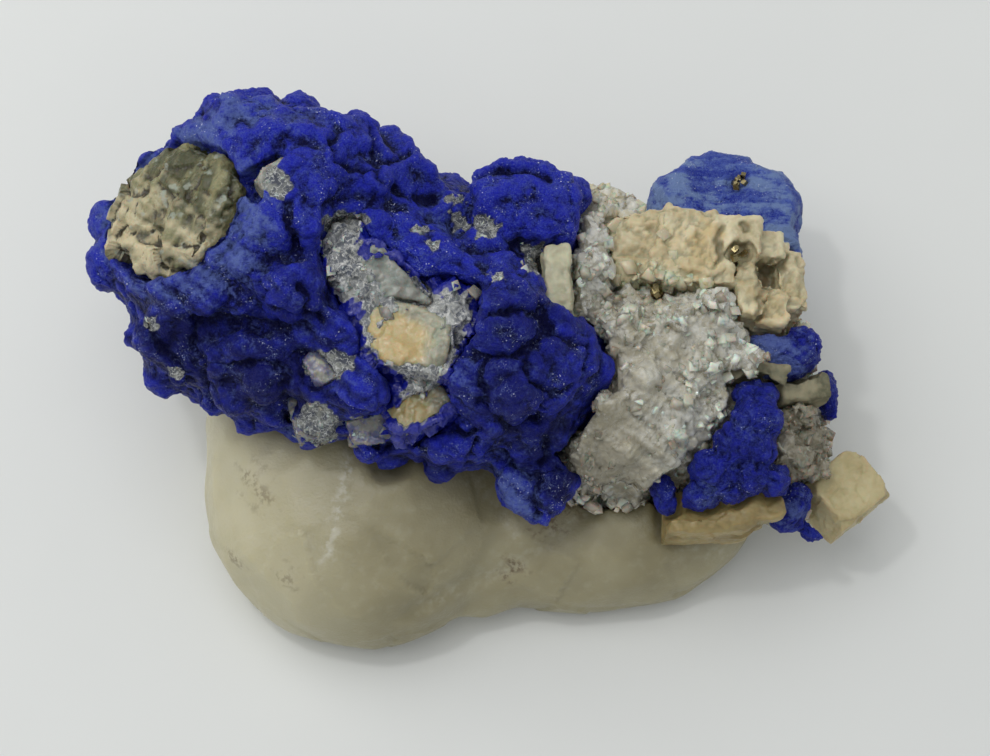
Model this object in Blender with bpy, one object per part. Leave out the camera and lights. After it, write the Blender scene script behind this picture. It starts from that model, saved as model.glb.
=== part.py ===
"""A lazurite specimen: knobbly ultramarine lazurite grown on sugary calcite, over a smooth block of massive calcite.

Run with: blender --background --python part.py
Frame: metres, +Z up, origin in the middle of the specimen, on the flat face that the calcite block rests on.
+X runs along the specimen, from the lazurite barrel at the left to the tan spur at the right.
Lengths in this file are in millimetres; settle() turns each finished mesh into metres.
"""
import math
import random

import bmesh
import bpy
from mathutils import Euler, Matrix, Vector, noise
from mathutils.bvhtree import BVHTree

MM = 0.001
UP = Vector((0, 0, 1))

# Driving dimensions.
BARREL_CENTRE = Vector((-17.4, 16.6, 22.6))
BARREL_RADII = (15.7, 13.0, 13.2)
BARREL_FLATS = ((135, 8, 12.4), (250, 40, 12.2), (70, 20, 12.2))    # bearing, rise, distance from its centre
CAP_CENTRE = Vector((-26.1, 16.5, 30.5))
CAP_NORMAL = Vector((-0.53, 0.02, 0.85)).normalized()
CAP_RADII = (7.2, 6.0, 2.0)
SQUARE_CENTRE = Vector((6.6, 17.7, 21.5))
SQUARE_SIZE = (9.0, 7.4, 14.0)
GAP = 0.35               # clearance between grown-together minerals
CORE_VOXEL = 0.7
SKIN_VOXEL = 0.55
CUTTER_VOXEL = 0.45
SLACK = 0.75             # more room than GAP, cut before a lump is thinned, because thinning moves its skin
TRIM = 0.15              # more room than GAP in the last cut, for the corners that its cutters round off
NEAR = 1.5               # pieces whose boxes are closer than this may touch
GROUND = Vector((0, 0, 0))

# Colours (linear red, green, blue) and roughness.
ULTRAMARINE = ((0.022, 0.030, 0.230), 0.55)
DENIM = ((0.075, 0.130, 0.400), 0.60)
WAXY_CALCITE = ((0.430, 0.400, 0.290), 0.35)
SUGARY_WHITE = ((0.560, 0.540, 0.450), 0.30)
CREAM = ((0.560, 0.480, 0.300), 0.50)
TAN = ((0.480, 0.380, 0.200), 0.45)
OLIVE = ((0.300, 0.290, 0.190), 0.60)
BRASSY = ((0.450, 0.360, 0.170), 0.30)

# Knobs on the lazurite that the eye picks out from above: place in plan, and radius.
CREST_KNOBS = (
    (-28.5, 22.3, 1.3), (-25.5, 23.8, 1.6), (-22.5, 26.5, 1.6), (-20.0, 28.0, 1.5), (-18.0, 28.3, 1.5),
    (-14.5, 26.8, 1.6), (-12.4, 25.8, 1.2), (-8.8, 23.8, 1.9), (-6.2, 24.4, 1.7), (-4.8, 23.0, 1.4),
    (-23.0, 23.2, 1.8), (-20.6, 25.6, 1.8), (-17.5, 25.5, 1.6), (-15.5, 24.0, 1.5), (-13.0, 24.3, 1.5),
    (-11.0, 23.6, 1.6), (-7.5, 22.0, 1.4), (-4.2, 21.4, 1.4), (-2.4, 20.4, 1.3), (-16.5, 22.5, 1.6),
    (-14.0, 22.0, 1.5), (-12.0, 21.0, 1.6), (-9.8, 21.6, 1.7), (-6.0, 20.2, 1.5), (-20.4, 21.4, 1.6),
    (-11.5, 18.8, 1.7), (-7.4, 17.8, 1.9), (-14.0, 18.2, 2.0), (-12.2, 16.6, 1.8), (-16.8, 17.6, 1.3),
    (-14.6, 15.6, 1.7), (-17.2, 14.8, 1.7), (-13.2, 13.2, 1.8), (-15.6, 12.8, 1.5), (-18.2, 12.6, 1.2),
    (-11.6, 11.0, 1.5),
)
CAP_RIM_KNOBS = (
    (-19.4, 18.4, 1.3), (-19.5, 15.8, 1.2), (-20.0, 13.2, 1.3), (-21.6, 11.0, 1.5), (-24.2, 10.0, 1.5),
    (-27.0, 9.6, 1.4), (-29.6, 10.4, 1.3), (-31.4, 12.8, 1.2), (-32.2, 15.6, 1.2), (-31.6, 18.4, 1.2),
    (-30.2, 20.8, 1.2),
)
FACE_KNOBS = (
    (-14.6, 8.2, 3.2), (-18.2, 9.4, 1.7), (-19.8, 7.4, 1.6), (-22.2, 8.0, 1.8), (-24.8, 7.6, 1.7),
    (-27.2, 7.2, 1.6), (-16.4, 3.6, 2.0), (-19.2, 3.6, 1.9), (-12.2, 4.8, 2.1), (-10.2, 4.2, 1.8),
    (-9.2, 6.4, 1.4), (-21.8, 3.0, 1.7), (-23.6, 1.6, 1.6), (-17.4, 1.2, 2.2), (-14.0, 1.4, 1.8),
    (-20.4, 0.4, 1.9), (-15.8, -1.0, 1.7), (-12.2, -0.8, 1.4), (-30.8, 9.4, 1.3), (-30.0, 7.0, 1.4),
    (-28.0, 5.4, 1.8), (-27.4, 3.0, 1.6), (-25.2, 3.2, 1.6), (-25.4, 1.0, 1.4),
)
RIDGE_KNOBS = (
    (-8.0, 14.3, 1.2), (-6.3, 14.8, 1.4), (-4.5, 14.0, 1.6), (-3.8, 12.4, 1.7), (-6.2, 12.2, 1.5),
    (-1.8, 13.0, 1.6), (-2.2, 11.2, 1.7), (-0.2, 11.8, 1.6), (0.4, 9.8, 1.3), (-4.0, 16.8, 1.3),
    (-1.8, 16.6, 1.3), (-0.4, 18.0, 1.2), (2.3, 13.4, 1.8), (4.6, 12.8, 1.6), (2.2, 11.2, 1.7),
    (4.8, 10.6, 1.7), (2.8, 8.8, 1.7), (5.0, 8.2, 1.8), (7.2, 8.8, 1.6), (6.8, 6.8, 1.8),
)
CENTRE_KNOBS = (
    (9.6, 6.2, 1.6), (11.4, 6.6, 1.2), (10.2, 4.4, 1.6), (12.2, 4.6, 1.4), (13.5, 3.2, 1.3), (13.7, 1.8, 1.1),
    (12.0, 2.2, 1.5), (10.4, 1.6, 1.5), (8.4, 2.2, 1.6), (3.8, 5.2, 2.2), (6.0, 4.2, 1.6), (2.8, 3.4, 1.5),
    (4.6, 1.8, 1.6), (1.4, 0.2, 1.9), (2.8, -1.2, 1.8), (0.4, -1.4, 1.3), (5.4, -1.0, 2.5), (8.6, -0.8, 1.7),
    (10.0, 0.0, 1.5), (9.8, -2.8, 1.4), (7.8, -2.8, 1.3), (6.8, 0.6, 1.7), (-8.8, 3.8, 1.9), (-9.4, 6.0, 1.4),
    (-8.6, -0.4, 2.6), (-6.6, -0.8, 1.8), (-5.4, -4.4, 1.4), (-3.0, -3.6, 1.6), (-0.8, -3.9, 2.1),
    (1.6, -3.8, 1.9), (3.5, -3.0, 1.7),
)
SQUARE_KNOBS = (
    (2.8, 20.4, 1.2), (4.6, 21.0, 1.4), (6.8, 21.2, 1.4), (8.6, 20.8, 1.3), (10.2, 20.0, 1.3), (11.0, 18.6, 1.2),
    (3.4, 18.4, 1.7), (6.0, 18.6, 1.8), (8.6, 18.4, 1.6), (10.8, 17.0, 1.3), (4.8, 16.6, 1.5), (6.6, 16.0, 1.5),
    (9.0, 16.0, 1.6), (10.9, 15.0, 1.1), (8.0, 14.6, 1.1),
)
PENDANT_KNOBS = (
    (5.6, -6.6, 1.5), (6.2, -8.6, 1.3), (8.2, -9.6, 1.1), (9.6, -8.2, 1.3), (9.8, -6.4, 1.6), (11.4, -6.4, 0.8),
    (7.4, -7.6, 1.4),
)


# Meshes -------------------------------------------------------------------------------------------------------------

def turned(turn):
    """A rotation by turn, in degrees about X, Y and Z."""
    return Euler([math.radians(angle) for angle in turn]).to_matrix()


def lobe(mesh, centre, radii, turn=(0, 0, 0), detail=3):
    """Adds an ellipsoid."""
    place = Matrix.Translation(centre) @ turned(turn).to_4x4() @ Matrix.Diagonal((*radii, 1))
    bmesh.ops.create_icosphere(mesh, subdivisions=detail, radius=1, matrix=place)


def lobes(*rows, detail=3):
    """A mesh of overlapping ellipsoids; each row is centre, radii and perhaps a turn."""
    mesh = bmesh.new()
    for row in rows:
        lobe(mesh, *row, detail=detail)
    return mesh


def crystal(centre, size, turn=(0, 0, 0), lean=(0, 0), blunt=0.16, seed=1):
    """A flat-faced block whose corners are cut off unevenly; lean shears it along X and Y as calcite cleaves."""
    dice = random.Random(seed)
    mesh = bmesh.new()
    rotation = turned(turn)
    for sx in (-1, 1):
        for sy in (-1, 1):
            for sz in (-1, 1):
                for axis in range(3):
                    corner = Vector((sx, sy, sz))
                    corner[axis] *= 1 - 2 * blunt * dice.uniform(0.4, 1.4)
                    point = Vector(c * s / 2 for c, s in zip(corner, size))
                    point.x += point.z * lean[0]
                    point.y += point.z * lean[1]
                    mesh.verts.new(Vector(centre) + rotation @ point)
    bmesh.ops.convex_hull(mesh, input=mesh.verts[:])
    loose = [vertex for vertex in mesh.verts if not vertex.link_faces]
    bmesh.ops.delete(mesh, geom=loose, context="VERTS")
    bmesh.ops.recalc_face_normals(mesh, faces=mesh.faces[:])
    return mesh


def put_in(mesh, other):
    """Adds other's faces to mesh and frees other."""
    data = bpy.data.meshes.new("carried")
    other.to_mesh(data)
    other.free()
    mesh.from_mesh(data)
    bpy.data.meshes.remove(data)
    return mesh


def as_object(mesh, name="working"):
    data = bpy.data.meshes.new(name)
    mesh.to_mesh(data)
    obj = bpy.data.objects.new(name, data)
    bpy.context.scene.collection.objects.link(obj)
    return obj


def baked(obj):
    """The mesh that obj's modifiers make, as a bmesh; obj is removed."""
    graph = bpy.context.evaluated_depsgraph_get()
    mesh = bmesh.new()
    mesh.from_mesh(obj.evaluated_get(graph).to_mesh())
    bpy.data.objects.remove(obj)
    return mesh


def fused(mesh, voxel=CORE_VOXEL, rounds=2):
    """One closed skin round everything that overlaps in mesh, softened by that many rounds."""
    obj = as_object(mesh)
    remesh = obj.modifiers.new("fuse", "REMESH")
    remesh.mode = "VOXEL"
    remesh.voxel_size = voxel
    soften = obj.modifiers.new("soften", "SMOOTH")
    soften.factor = 0.5
    soften.iterations = rounds
    return baked(obj)


def swollen(mesh, distance):
    """A copy of mesh whose skin is moved out by distance."""
    obj = as_object(mesh)
    displace = obj.modifiers.new("swell", "DISPLACE")
    displace.mid_level = 0
    displace.strength = distance
    return baked(obj)


def roughened(mesh, height, wave, seed):
    """Moves the skin in and out by fractal noise."""
    mesh.normal_update()
    shift = Vector((17.3, 5.1, 9.7)) * seed
    for vertex in mesh.verts:
        vertex.co += vertex.normal * height * noise.fractal((vertex.co + shift) / wave, 1.0, 2.0, 3)
    return mesh


def thinned(mesh, triangles):
    """Collapses the skin to about that many facets."""
    bmesh.ops.triangulate(mesh, faces=mesh.faces[:])
    obj = as_object(mesh)
    decimate = obj.modifiers.new("thin", "DECIMATE")
    decimate.ratio = min(1.0, triangles / len(mesh.faces))
    decimate.use_collapse_triangulate = True
    return baked(obj)


def sliced(mesh, point, normal):
    """Cuts off what lies beyond a plane and closes the cut with one flat face."""
    everything = mesh.verts[:] + mesh.edges[:] + mesh.faces[:]
    bmesh.ops.bisect_plane(mesh, geom=everything, dist=0.0001, plane_co=point, plane_no=normal, clear_outer=True)
    bmesh.ops.edgeloop_fill(mesh, edges=[edge for edge in mesh.edges if edge.is_boundary])
    return mesh


def combined(mesh, other, operation):
    """A Boolean of two closed meshes."""
    obj = as_object(mesh)
    tool = as_object(other, "tool")
    boolean = obj.modifiers.new("cut", "BOOLEAN")
    boolean.operation = operation
    boolean.solver = "EXACT"
    boolean.object = tool
    result = baked(obj)
    bpy.data.objects.remove(tool)
    return result


def joined(first, *others):
    """One solid out of crystals that grew into each other."""
    for other in others:
        first = combined(first, other, "UNION")
    return first


def largest(mesh):
    """Keeps the biggest connected lump of mesh and drops the crumbs that a cut left."""
    unseen = set(mesh.faces)
    lumps = []
    while unseen:
        lump = set()
        queue = [unseen.pop()]
        while queue:
            face = queue.pop()
            lump.add(face)
            for edge in face.edges:
                for near in edge.link_faces:
                    if near in unseen:
                        unseen.discard(near)
                        queue.append(near)
        lumps.append(lump)
    keep = max(lumps, key=lambda lump: sum(face.calc_area() for face in lump))
    crumbs = [face for face in mesh.faces if face not in keep]
    bmesh.ops.delete(mesh, geom=crumbs, context="FACES")
    return mesh


def carved(mesh, neighbours, room):
    """Takes room for each neighbour out of mesh, wider all round than the neighbour is."""
    for neighbour in neighbours:
        shell = fused(swollen(neighbour, room), CUTTER_VOXEL, 0)
        mesh = combined(mesh, shell, "DIFFERENCE")
    return largest(mesh)


def box(mesh):
    """The lowest and highest corners of mesh."""
    corners = [[vertex.co[axis] for vertex in mesh.verts] for axis in range(3)]
    return [min(column) for column in corners], [max(column) for column in corners]


def close(mesh, other):
    """Whether two meshes' boxes are nearer than NEAR."""
    (low, high), (other_low, other_high) = box(mesh), box(other)
    return all(low[axis] - NEAR < other_high[axis] and other_low[axis] - NEAR < high[axis] for axis in range(3))


def fitted(mesh, pieces, facets, lump):
    """mesh with room for the pieces that are already there; a lump's skin is made even before it is thinned."""
    neighbours = [piece for piece in pieces if close(mesh, piece)]
    if not neighbours:
        return thinned(mesh, facets)
    mesh = carved(mesh, neighbours, GAP + SLACK)
    if lump:
        mesh = largest(fused(mesh, SKIN_VOXEL, 0))
    return carved(largest(thinned(mesh, facets)), neighbours, GAP + TRIM)


# Knobs --------------------------------------------------------------------------------------------------------------

def seated_knobs(core, rows, lift=0.25):
    """Round knobs on core, each where a line straight down through its place in plan meets the skin."""
    skin = BVHTree.FromBMesh(core)
    mesh = bmesh.new()
    for x, y, radius in rows:
        hit, normal, _, _ = skin.ray_cast(Vector((x, y, 100)), -UP)
        if hit:
            lobe(mesh, hit + normal * radius * lift, (radius,) * 3, detail=2)
    return mesh


def strewn_knobs(core, spacing, radii, seed, clear_of=()):
    """Knobs all over core at least spacing apart, also where it faces down, but none on the places in clear_of."""
    dice = random.Random(seed)
    core.normal_update()
    places = sorted(core.verts, key=lambda vertex: dice.random())
    taken = [Vector(place) for place in clear_of]
    mesh = bmesh.new()
    for vertex in places:
        if all((vertex.co - near).length > spacing for near in taken):
            taken.append(vertex.co.copy())
            radius = dice.uniform(*radii)
            lobe(mesh, vertex.co + vertex.normal * radius * 0.1, (radius,) * 3, detail=2)
    return mesh


# Lazurite -----------------------------------------------------------------------------------------------------------

def barrel():
    """The big rounded dodecahedral lump at the left, flat where its broken end shows the rock inside."""
    mesh = lobes((BARREL_CENTRE, BARREL_RADII), detail=4)
    for bearing, rise, distance in BARREL_FLATS:
        outward = Vector((math.cos(math.radians(bearing)), math.sin(math.radians(bearing)), 0))
        outward = (outward + UP * math.tan(math.radians(rise))).normalized()
        mesh = sliced(mesh, BARREL_CENTRE + outward * distance, outward)
    return sliced(mesh, CAP_CENTRE, CAP_NORMAL)


def lazurite_core():
    """The blue mass without its knobs: barrel, its lower face, the middle, the square crystal and the pendant."""
    mesh = barrel()
    put_in(mesh, lobes(
        ((-16.0, 4.9, 21.0), (9.4, 5.6, 8.0)),
        ((-24.2, 8.8, 21.0), (6.2, 6.2, 7.0)),
        ((-7.9, 17.7, 23.4), (8.0, 7.8, 8.4)),
        ((-1.0, 17.4, 22.0), (4.5, 4.4, 6.2)),
        ((-10.0, 3.6, 23.0), (5.0, 6.6, 8.4)),
        ((-3.0, 10.0, 23.0), (9.0, 6.0, 8.4)),
        ((4.0, 5.0, 23.5), (7.4, 8.8, 9.0)),
        ((9.0, 2.8, 22.0), (5.0, 5.4, 8.0)),
        ((-4.0, -0.4, 20.5), (7.6, 3.8, 5.6)),
        ((0.4, -2.4, 19.8), (5.0, 3.0, 4.0)),
        ((7.2, -2.4, 20.5), (2.4, 3.4, 4.2)),
        ((6.2, -6.6, 17.2), (2.2, 2.6, 2.6)),
        ((9.4, -6.6, 17.4), (2.2, 2.3, 2.4)),
        ((7.9, -8.4, 16.6), (1.6, 1.6, 1.9)),
    ))
    put_in(mesh, crystal(SQUARE_CENTRE, SQUARE_SIZE, turn=(0, 4, -3), blunt=0.1, seed=4))
    return fused(mesh)


def lazurite_mass(core):
    """The blue mass with its crust of knobs."""
    rows = (CREST_KNOBS + CAP_RIM_KNOBS + FACE_KNOBS + RIDGE_KNOBS + CENTRE_KNOBS + SQUARE_KNOBS
            + PENDANT_KNOBS)
    skin = BVHTree.FromBMesh(core)
    hits = [skin.ray_cast(Vector((x, y, 100)), -UP)[0] for x, y, _ in rows]
    mesh = core.copy()
    put_in(mesh, seated_knobs(core, rows))
    put_in(mesh, strewn_knobs(core, 4.2, (1.6, 2.6), 7, [hit for hit in hits if hit] + [CAP_CENTRE]))
    mesh = sliced(fused(mesh, 0.5, 2), CAP_CENTRE + CAP_NORMAL * 0.4, CAP_NORMAL)
    return thinned(mesh, 6000)


def knobbly(rows, triangles, seed):
    """A small lump of lazurite with a rough skin."""
    return thinned(roughened(fused(lobes(*rows, detail=2), 0.35, 1), 0.35, 1.3, seed), triangles)


def tablet():
    """The pale blue tabular crystal at the back, banded along its length."""
    mesh = lobes(
        ((26.4, 22.4, 14.2), (7.0, 4.8, 3.8)),
        ((21.8, 23.0, 13.8), (2.6, 2.7, 2.8)),
        ((26.2, 26.9, 13.6), (3.2, 2.0, 2.6)),
        ((31.4, 21.8, 14.2), (2.8, 4.2, 3.4)),
        ((32.2, 18.2, 14.8), (1.9, 3.6, 3.0)),
    )
    mesh = sliced(fused(mesh, 0.5, 1), Vector((26, 22, 16.9)), Vector((0, 0.22, 1)).normalized())
    return thinned(roughened(mesh, 0.3, 2.6, 3), 300)


def shoulder():
    return knobbly((
        ((33.2, 6.6, 19.0), (2.3, 2.1, 2.4)),
        ((30.2, 6.8, 19.0), (2.8, 1.8, 2.2)),
        ((31.9, 5.4, 18.2), (3.0, 1.6, 2.0)),
    ), 150, 5)


def flake():
    return knobbly((
        ((36.2, 4.4, 13.4), (1.0, 1.9, 2.6)),
        ((36.6, 2.6, 12.8), (0.9, 1.5, 2.0)),
    ), 70, 6)


def ridge():
    """The string of lumps that runs down the right front."""
    return knobbly((
        ((28.8, 1.6, 19.8), (2.3, 1.2, 2.0)),
        ((28.8, -0.9, 20.4), (2.5, 2.1, 2.6)),
        ((27.2, -3.2, 19.8), (2.5, 2.1, 2.4)),
        ((25.0, -5.2, 18.6), (2.6, 1.7, 2.2)),
        ((29.0, -3.6, 19.8), (1.6, 1.8, 2.2)),
        ((28.4, -6.0, 18.4), (1.8, 1.5, 2.0)),
        ((30.4, -6.2, 17.6), (1.4, 1.5, 1.9)),
        ((26.0, -6.8, 17.4), (2.4, 1.4, 1.8)),
        ((23.6, -7.4, 16.8), (1.8, 1.2, 1.6)),
    ), 420, 7)


def bead():
    return knobbly((
        ((20.0, -6.2, 15.8), (1.2, 1.2, 1.6)),
        ((20.4, -7.8, 15.4), (1.1, 1.1, 1.5)),
    ), 80, 8)


def heel():
    return knobbly((
        ((33.0, -6.6, 12.6), (1.7, 1.9, 2.0)),
        ((32.1, -8.4, 11.8), (1.7, 1.1, 1.6)),
        ((34.6, -9.4, 10.6), (1.8, 0.7, 1.0), (0, 0, -30)),
    ), 130, 9)


# Calcite and the rock -----------------------------------------------------------------------------------------------

def cap_rock():
    """The rough rock inside the barrel, bare on the broken end."""
    turn = UP.rotation_difference(CAP_NORMAL).to_matrix().to_4x4()
    mesh = bmesh.new()
    place = Matrix.Translation(CAP_CENTRE - CAP_NORMAL * 0.7) @ turn @ Matrix.Diagonal((*CAP_RADII, 1))
    bmesh.ops.create_icosphere(mesh, subdivisions=4, radius=1, matrix=place)
    return thinned(roughened(fused(mesh, 0.4, 1), 0.55, 2.2, 11), 420)


def calcite_block():
    """The smooth waxy block underneath, before the flat it rests on is cut."""
    mesh = lobes(
        ((-9.2, -4.0, 5.0), (15.8, 15.5, 11.5)),
        ((-16.0, 2.0, 7.0), (8.8, 11.5, 8.0)),
        ((-13.0, 9.0, 7.0), (11.5, 12.0, 8.5)),
        ((12.6, -5.2, 3.6), (17.6, 10.6, 8.0)),
        ((1.5, -7.4, 4.0), (8.0, 9.0, 6.0)),
        ((20.0, 0.0, 4.5), (11.4, 11.4, 8.0)),
        ((4.0, 11.0, 6.0), (18.0, 10.0, 9.0)),
    )
    return thinned(roughened(fused(mesh, CORE_VOXEL, 6), 0.5, 9.0, 12), 720)


def sugary_calcite():
    """The granular white calcite in the middle and right, blocky with small cleaved crystals."""
    mesh = lobes(
        ((16.0, 4.0, 16.0), (8.6, 9.6, 9.0)),
        ((22.0, 8.6, 15.6), (10.6, 9.4, 8.0)),
        ((13.0, 16.0, 17.0), (5.0, 6.0, 7.0)),
        ((10.8, 11.2, 20.0), (4.4, 4.4, 8.0)),
        ((26.6, 0.0, 11.6), (8.0, 6.4, 7.4)),
        ((30.2, 2.0, 11.4), (4.8, 7.2, 6.6)),
        ((32.2, -2.4, 10.0), (3.2, 4.2, 6.4)),
        ((15.0, -1.6, 12.5), (6.4, 4.2, 5.4)),
    )
    core = fused(mesh)
    dice = random.Random(21)
    places = sorted(core.verts, key=lambda vertex: dice.random())
    taken = []
    for vertex in places:
        if vertex.co.z > 8 and all((vertex.co - near).length > 3.4 for near in taken):
            taken.append(vertex.co.copy())
    for place in taken:
        size = [dice.uniform(2.2, 4.4) for _ in range(3)]
        turn = [dice.uniform(-60, 60) for _ in range(3)]
        put_in(core, crystal(place, size, turn, lean=(0.2, 0.1), seed=dice.randrange(999)))
    return thinned(fused(core, 0.5, 0), 1500)


def pocket_lobes():
    return (
        ((-9.6, 11.6, 29.6), (2.3, 3.8, 3.4)),
        ((-7.6, 7.8, 29.2), (2.6, 3.4, 3.4)),
        ((-3.4, 5.0, 27.6), (5.2, 4.6, 4.0)),
        ((-0.2, 5.8, 28.4), (2.8, 3.8, 3.6)),
        ((-3.0, 0.4, 26.0), (2.8, 2.8, 3.2)),
        ((-2.6, -2.4, 24.6), (2.5, 1.6, 2.4)),
    )


def pocket_calcite():
    """Glassy calcite that fills the hollow in the middle of the blue mass."""
    return thinned(roughened(fused(lobes(*pocket_lobes()), 0.45, 1), 0.5, 1.6, 13), 420)


def pocket_shaft():
    """The hollow that the glassy calcite fills, open to the air above it."""
    tall = [(Vector(centre) + UP * rise, radii) for centre, radii in pocket_lobes() for rise in (0, 2.4, 4.8)]
    return fused(lobes(*tall), 0.6, 1)


def cream_crystals():
    """The cream, granular and blocky crystals at the right, above the tablet."""
    return joined(
        crystal((26.0, 13.6, 17.0), (12.6, 8.6, 6.0), (0, 0, -3), seed=31),
        crystal((18.4, 15.6, 20.6), (6.6, 6.4, 7.0), (4, 0, 12), seed=32),
        crystal((22.4, 15.4, 21.2), (6.2, 6.2, 7.4), (-4, 5, -8), seed=33),
        crystal((21.4, 13.0, 22.2), (5.8, 3.0, 5.4), (0, 6, -4), seed=34),
        crystal((27.0, 16.2, 21.4), (4.4, 3.8, 6.8), (0, 0, -4), blunt=0.08, seed=35),
        crystal((30.1, 15.8, 20.0), (2.2, 2.6, 6.4), (0, 6, 3), blunt=0.1, seed=36),
        crystal((25.6, 13.0, 21.6), (1.8, 2.6, 5.6), (6, 0, 4), blunt=0.08, seed=37),
        crystal((28.1, 11.2, 21.0), (1.9, 5.0, 5.4), (0, 0, 5), blunt=0.12, seed=38),
        crystal((30.2, 9.8, 19.6), (2.7, 3.4, 5.4), (0, 5, -6), seed=39),
        crystal((32.0, 12.8, 18.2), (2.5, 5.6, 6.6), (0, 8, 4), seed=40),
    )


def tan_band():
    """The long olive crystal that crosses the right-hand side under the shoulder."""
    return joined(
        crystal((29.0, 3.9, 19.3), (5.4, 2.0, 3.6), (10, 0, -12), seed=51),
        crystal((33.2, 3.0, 16.6), (4.8, 2.6, 4.4), (0, 12, 8), seed=52),
    )


def tan_ledge():
    """The brownish block that juts out at the front, below the ridge."""
    return joined(
        crystal((24.2, -8.2, 12.8), (8.0, 4.4, 6.0), (0, 3, 2), blunt=0.1, seed=53),
        crystal((28.4, -7.2, 13.2), (6.0, 4.4, 6.0), (6, 0, 10), blunt=0.12, seed=54),
    )


def tan_spur():
    return crystal((37.9, -5.2, 9.0), (6.0, 5.8, 5.4), (4, 8, 40), (0.1, 0), blunt=0.2, seed=55)


def pyrite(centre, seed):
    """A pair of intergrown pyrite cubes."""
    dice = random.Random(seed)
    cubes = []
    for side, shift in ((1.0, Vector()), (0.75, Vector((0.4, 0.25, -0.1)))):
        mesh = bmesh.new()
        turn = turned([dice.uniform(0, 90) for _ in range(3)]).to_4x4()
        bmesh.ops.create_cube(mesh, size=side, matrix=Matrix.Translation(Vector(centre) + shift) @ turn)
        cubes.append(mesh)
    return joined(*cubes)


# Assembly -----------------------------------------------------------------------------------------------------------

def material(name, colour, roughness, metallic=0.0):
    finish = bpy.data.materials.new(name)
    finish.use_nodes = True
    shader = finish.node_tree.nodes["Principled BSDF"]
    shader.inputs["Base Color"].default_value = (*colour, 1)
    shader.inputs["Roughness"].default_value = roughness
    shader.inputs["Metallic"].default_value = metallic
    return finish


def settle(name, mesh, finish, carrier):
    """Turns mesh into metres and hangs it on carrier, with its origin in the middle of the piece."""
    bmesh.ops.triangulate(mesh, faces=mesh.faces[:])
    mesh.transform(Matrix.Scale(MM, 4))
    count = len(mesh.verts)
    middle = sum((vertex.co for vertex in mesh.verts), Vector()) / count
    mesh.transform(Matrix.Translation(-middle))
    obj = as_object(mesh, name)
    obj.data.materials.append(finish)
    obj.location = middle
    obj.parent = carrier
    return obj


def small_crystals():
    """The separate flat-faced crystals that sit in the blue mass, by name."""
    return {
        "eye_crystal": crystal((-16.4, 17.2, 33.7), (3.6, 3.4, 3.4), (0, 0, 35), blunt=0.34, seed=64),
        "face_crystal": crystal((-11.3, 1.9, 27.5), (4.2, 2.8, 3.0), (0, 0, 20), blunt=0.32, seed=65),
        "rim_crystal": crystal((-12.6, -0.7, 20.9), (4.6, 4.8, 5.4), (10, 0, 15), blunt=0.3, seed=66),
        "ledge_crystal": crystal((-7.6, -2.6, 22.9), (4.0, 2.4, 3.0), (20, 0, 10), blunt=0.3, seed=69),
        "window_crystal": crystal((-3.9, 3.9, 29.2), (7.4, 5.4, 4.6), (4, -4, -10), (0.1, 0), blunt=0.34, seed=61),
        "glass_crystal": crystal((-5.6, 8.8, 31.0), (3.0, 7.4, 2.4), (6, 0, 42), blunt=0.24, seed=68),
        "pod_crystal": crystal((-2.8, -1.8, 26.0), (5.4, 2.8, 2.8), (0, -8, 30), blunt=0.36, seed=62),
        "prism_crystal": crystal((9.8, 10.2, 26.8), (2.3, 6.4, 5.0), (0, 0, 2), blunt=0.1, seed=63),
    }


def main():
    for obj in list(bpy.data.objects):
        bpy.data.objects.remove(obj)
    blue = material("ultramarine lazurite", *ULTRAMARINE)
    pale = material("denim lazurite", *DENIM)
    white = material("sugary calcite", *SUGARY_WHITE)
    tan = material("tan crystal", *TAN)
    olive = material("olive rock", *OLIVE)
    brassy = material("pyrite", *BRASSY, metallic=1.0)

    # Each piece gives way to those above it: name, mesh, finish, facets, and whether it is a rounded lump.
    plan = [
        ("pyrite_1", pyrite((27.2, 14.2, 24.4), 71), brassy, 60, False),
        ("pyrite_2", pyrite((19.1, 10.8, 23.2), 73), brassy, 60, False),
        ("pyrite_3", pyrite((28.0, 24.6, 16.9), 75), brassy, 60, False),
    ]
    plan += [(name, mesh, tan, 60, False) for name, mesh in small_crystals().items()]
    plan += [
        ("cap_rock", cap_rock(), olive, 400, True),
        ("lazurite_mass", carved(lazurite_mass(lazurite_core()), [pocket_shaft()], GAP), blue, 3500, True),
        ("pocket_calcite", pocket_calcite(), white, 380, True),
        ("lazurite_ridge", ridge(), blue, 420, True),
        ("lazurite_bead", bead(), blue, 80, True),
        ("lazurite_heel", heel(), blue, 130, True),
        ("cream_crystals", cream_crystals(), material("cream calcite", *CREAM), 700, False),
        ("lazurite_shoulder", shoulder(), blue, 150, True),
        ("lazurite_flake", flake(), blue, 70, True),
        ("tan_band", tan_band(), olive, 120, False),
        ("tan_ledge", tan_ledge(), tan, 180, True),
        ("tan_spur", tan_spur(), tan, 60, False),
        ("lazurite_tablet", tablet(), pale, 300, True),
        ("sugary_calcite", sugary_calcite(), white, 1700, True),
        ("calcite_block", calcite_block(), material("waxy calcite", *WAXY_CALCITE), 650, True),
    ]
    specimen = bpy.data.objects.new("specimen", None)
    bpy.context.scene.collection.objects.link(specimen)
    pieces = []
    for name, mesh, finish, facets, lump in plan:
        mesh = fitted(mesh, pieces, facets, lump)
        if name == "calcite_block":
            mesh = largest(sliced(mesh, GROUND, -UP))
        pieces.append(mesh)
        settle(name, mesh.copy(), finish, specimen)


if __name__ == "__main__":
    main()
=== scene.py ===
# %% [markdown]
# # A lazurite specimen
# The real thing is a hand-sized piece of marble from a lapis mine. Blue lazurite grew over white, sugary
# calcite, and the whole lot sits on a smooth, waxy block of massive calcite. This lesson dresses plain
# faceted solids, the frame, with the skins, grains and finishes that make the eye believe in stone.

# %% Load the frame
import math
import random

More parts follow.
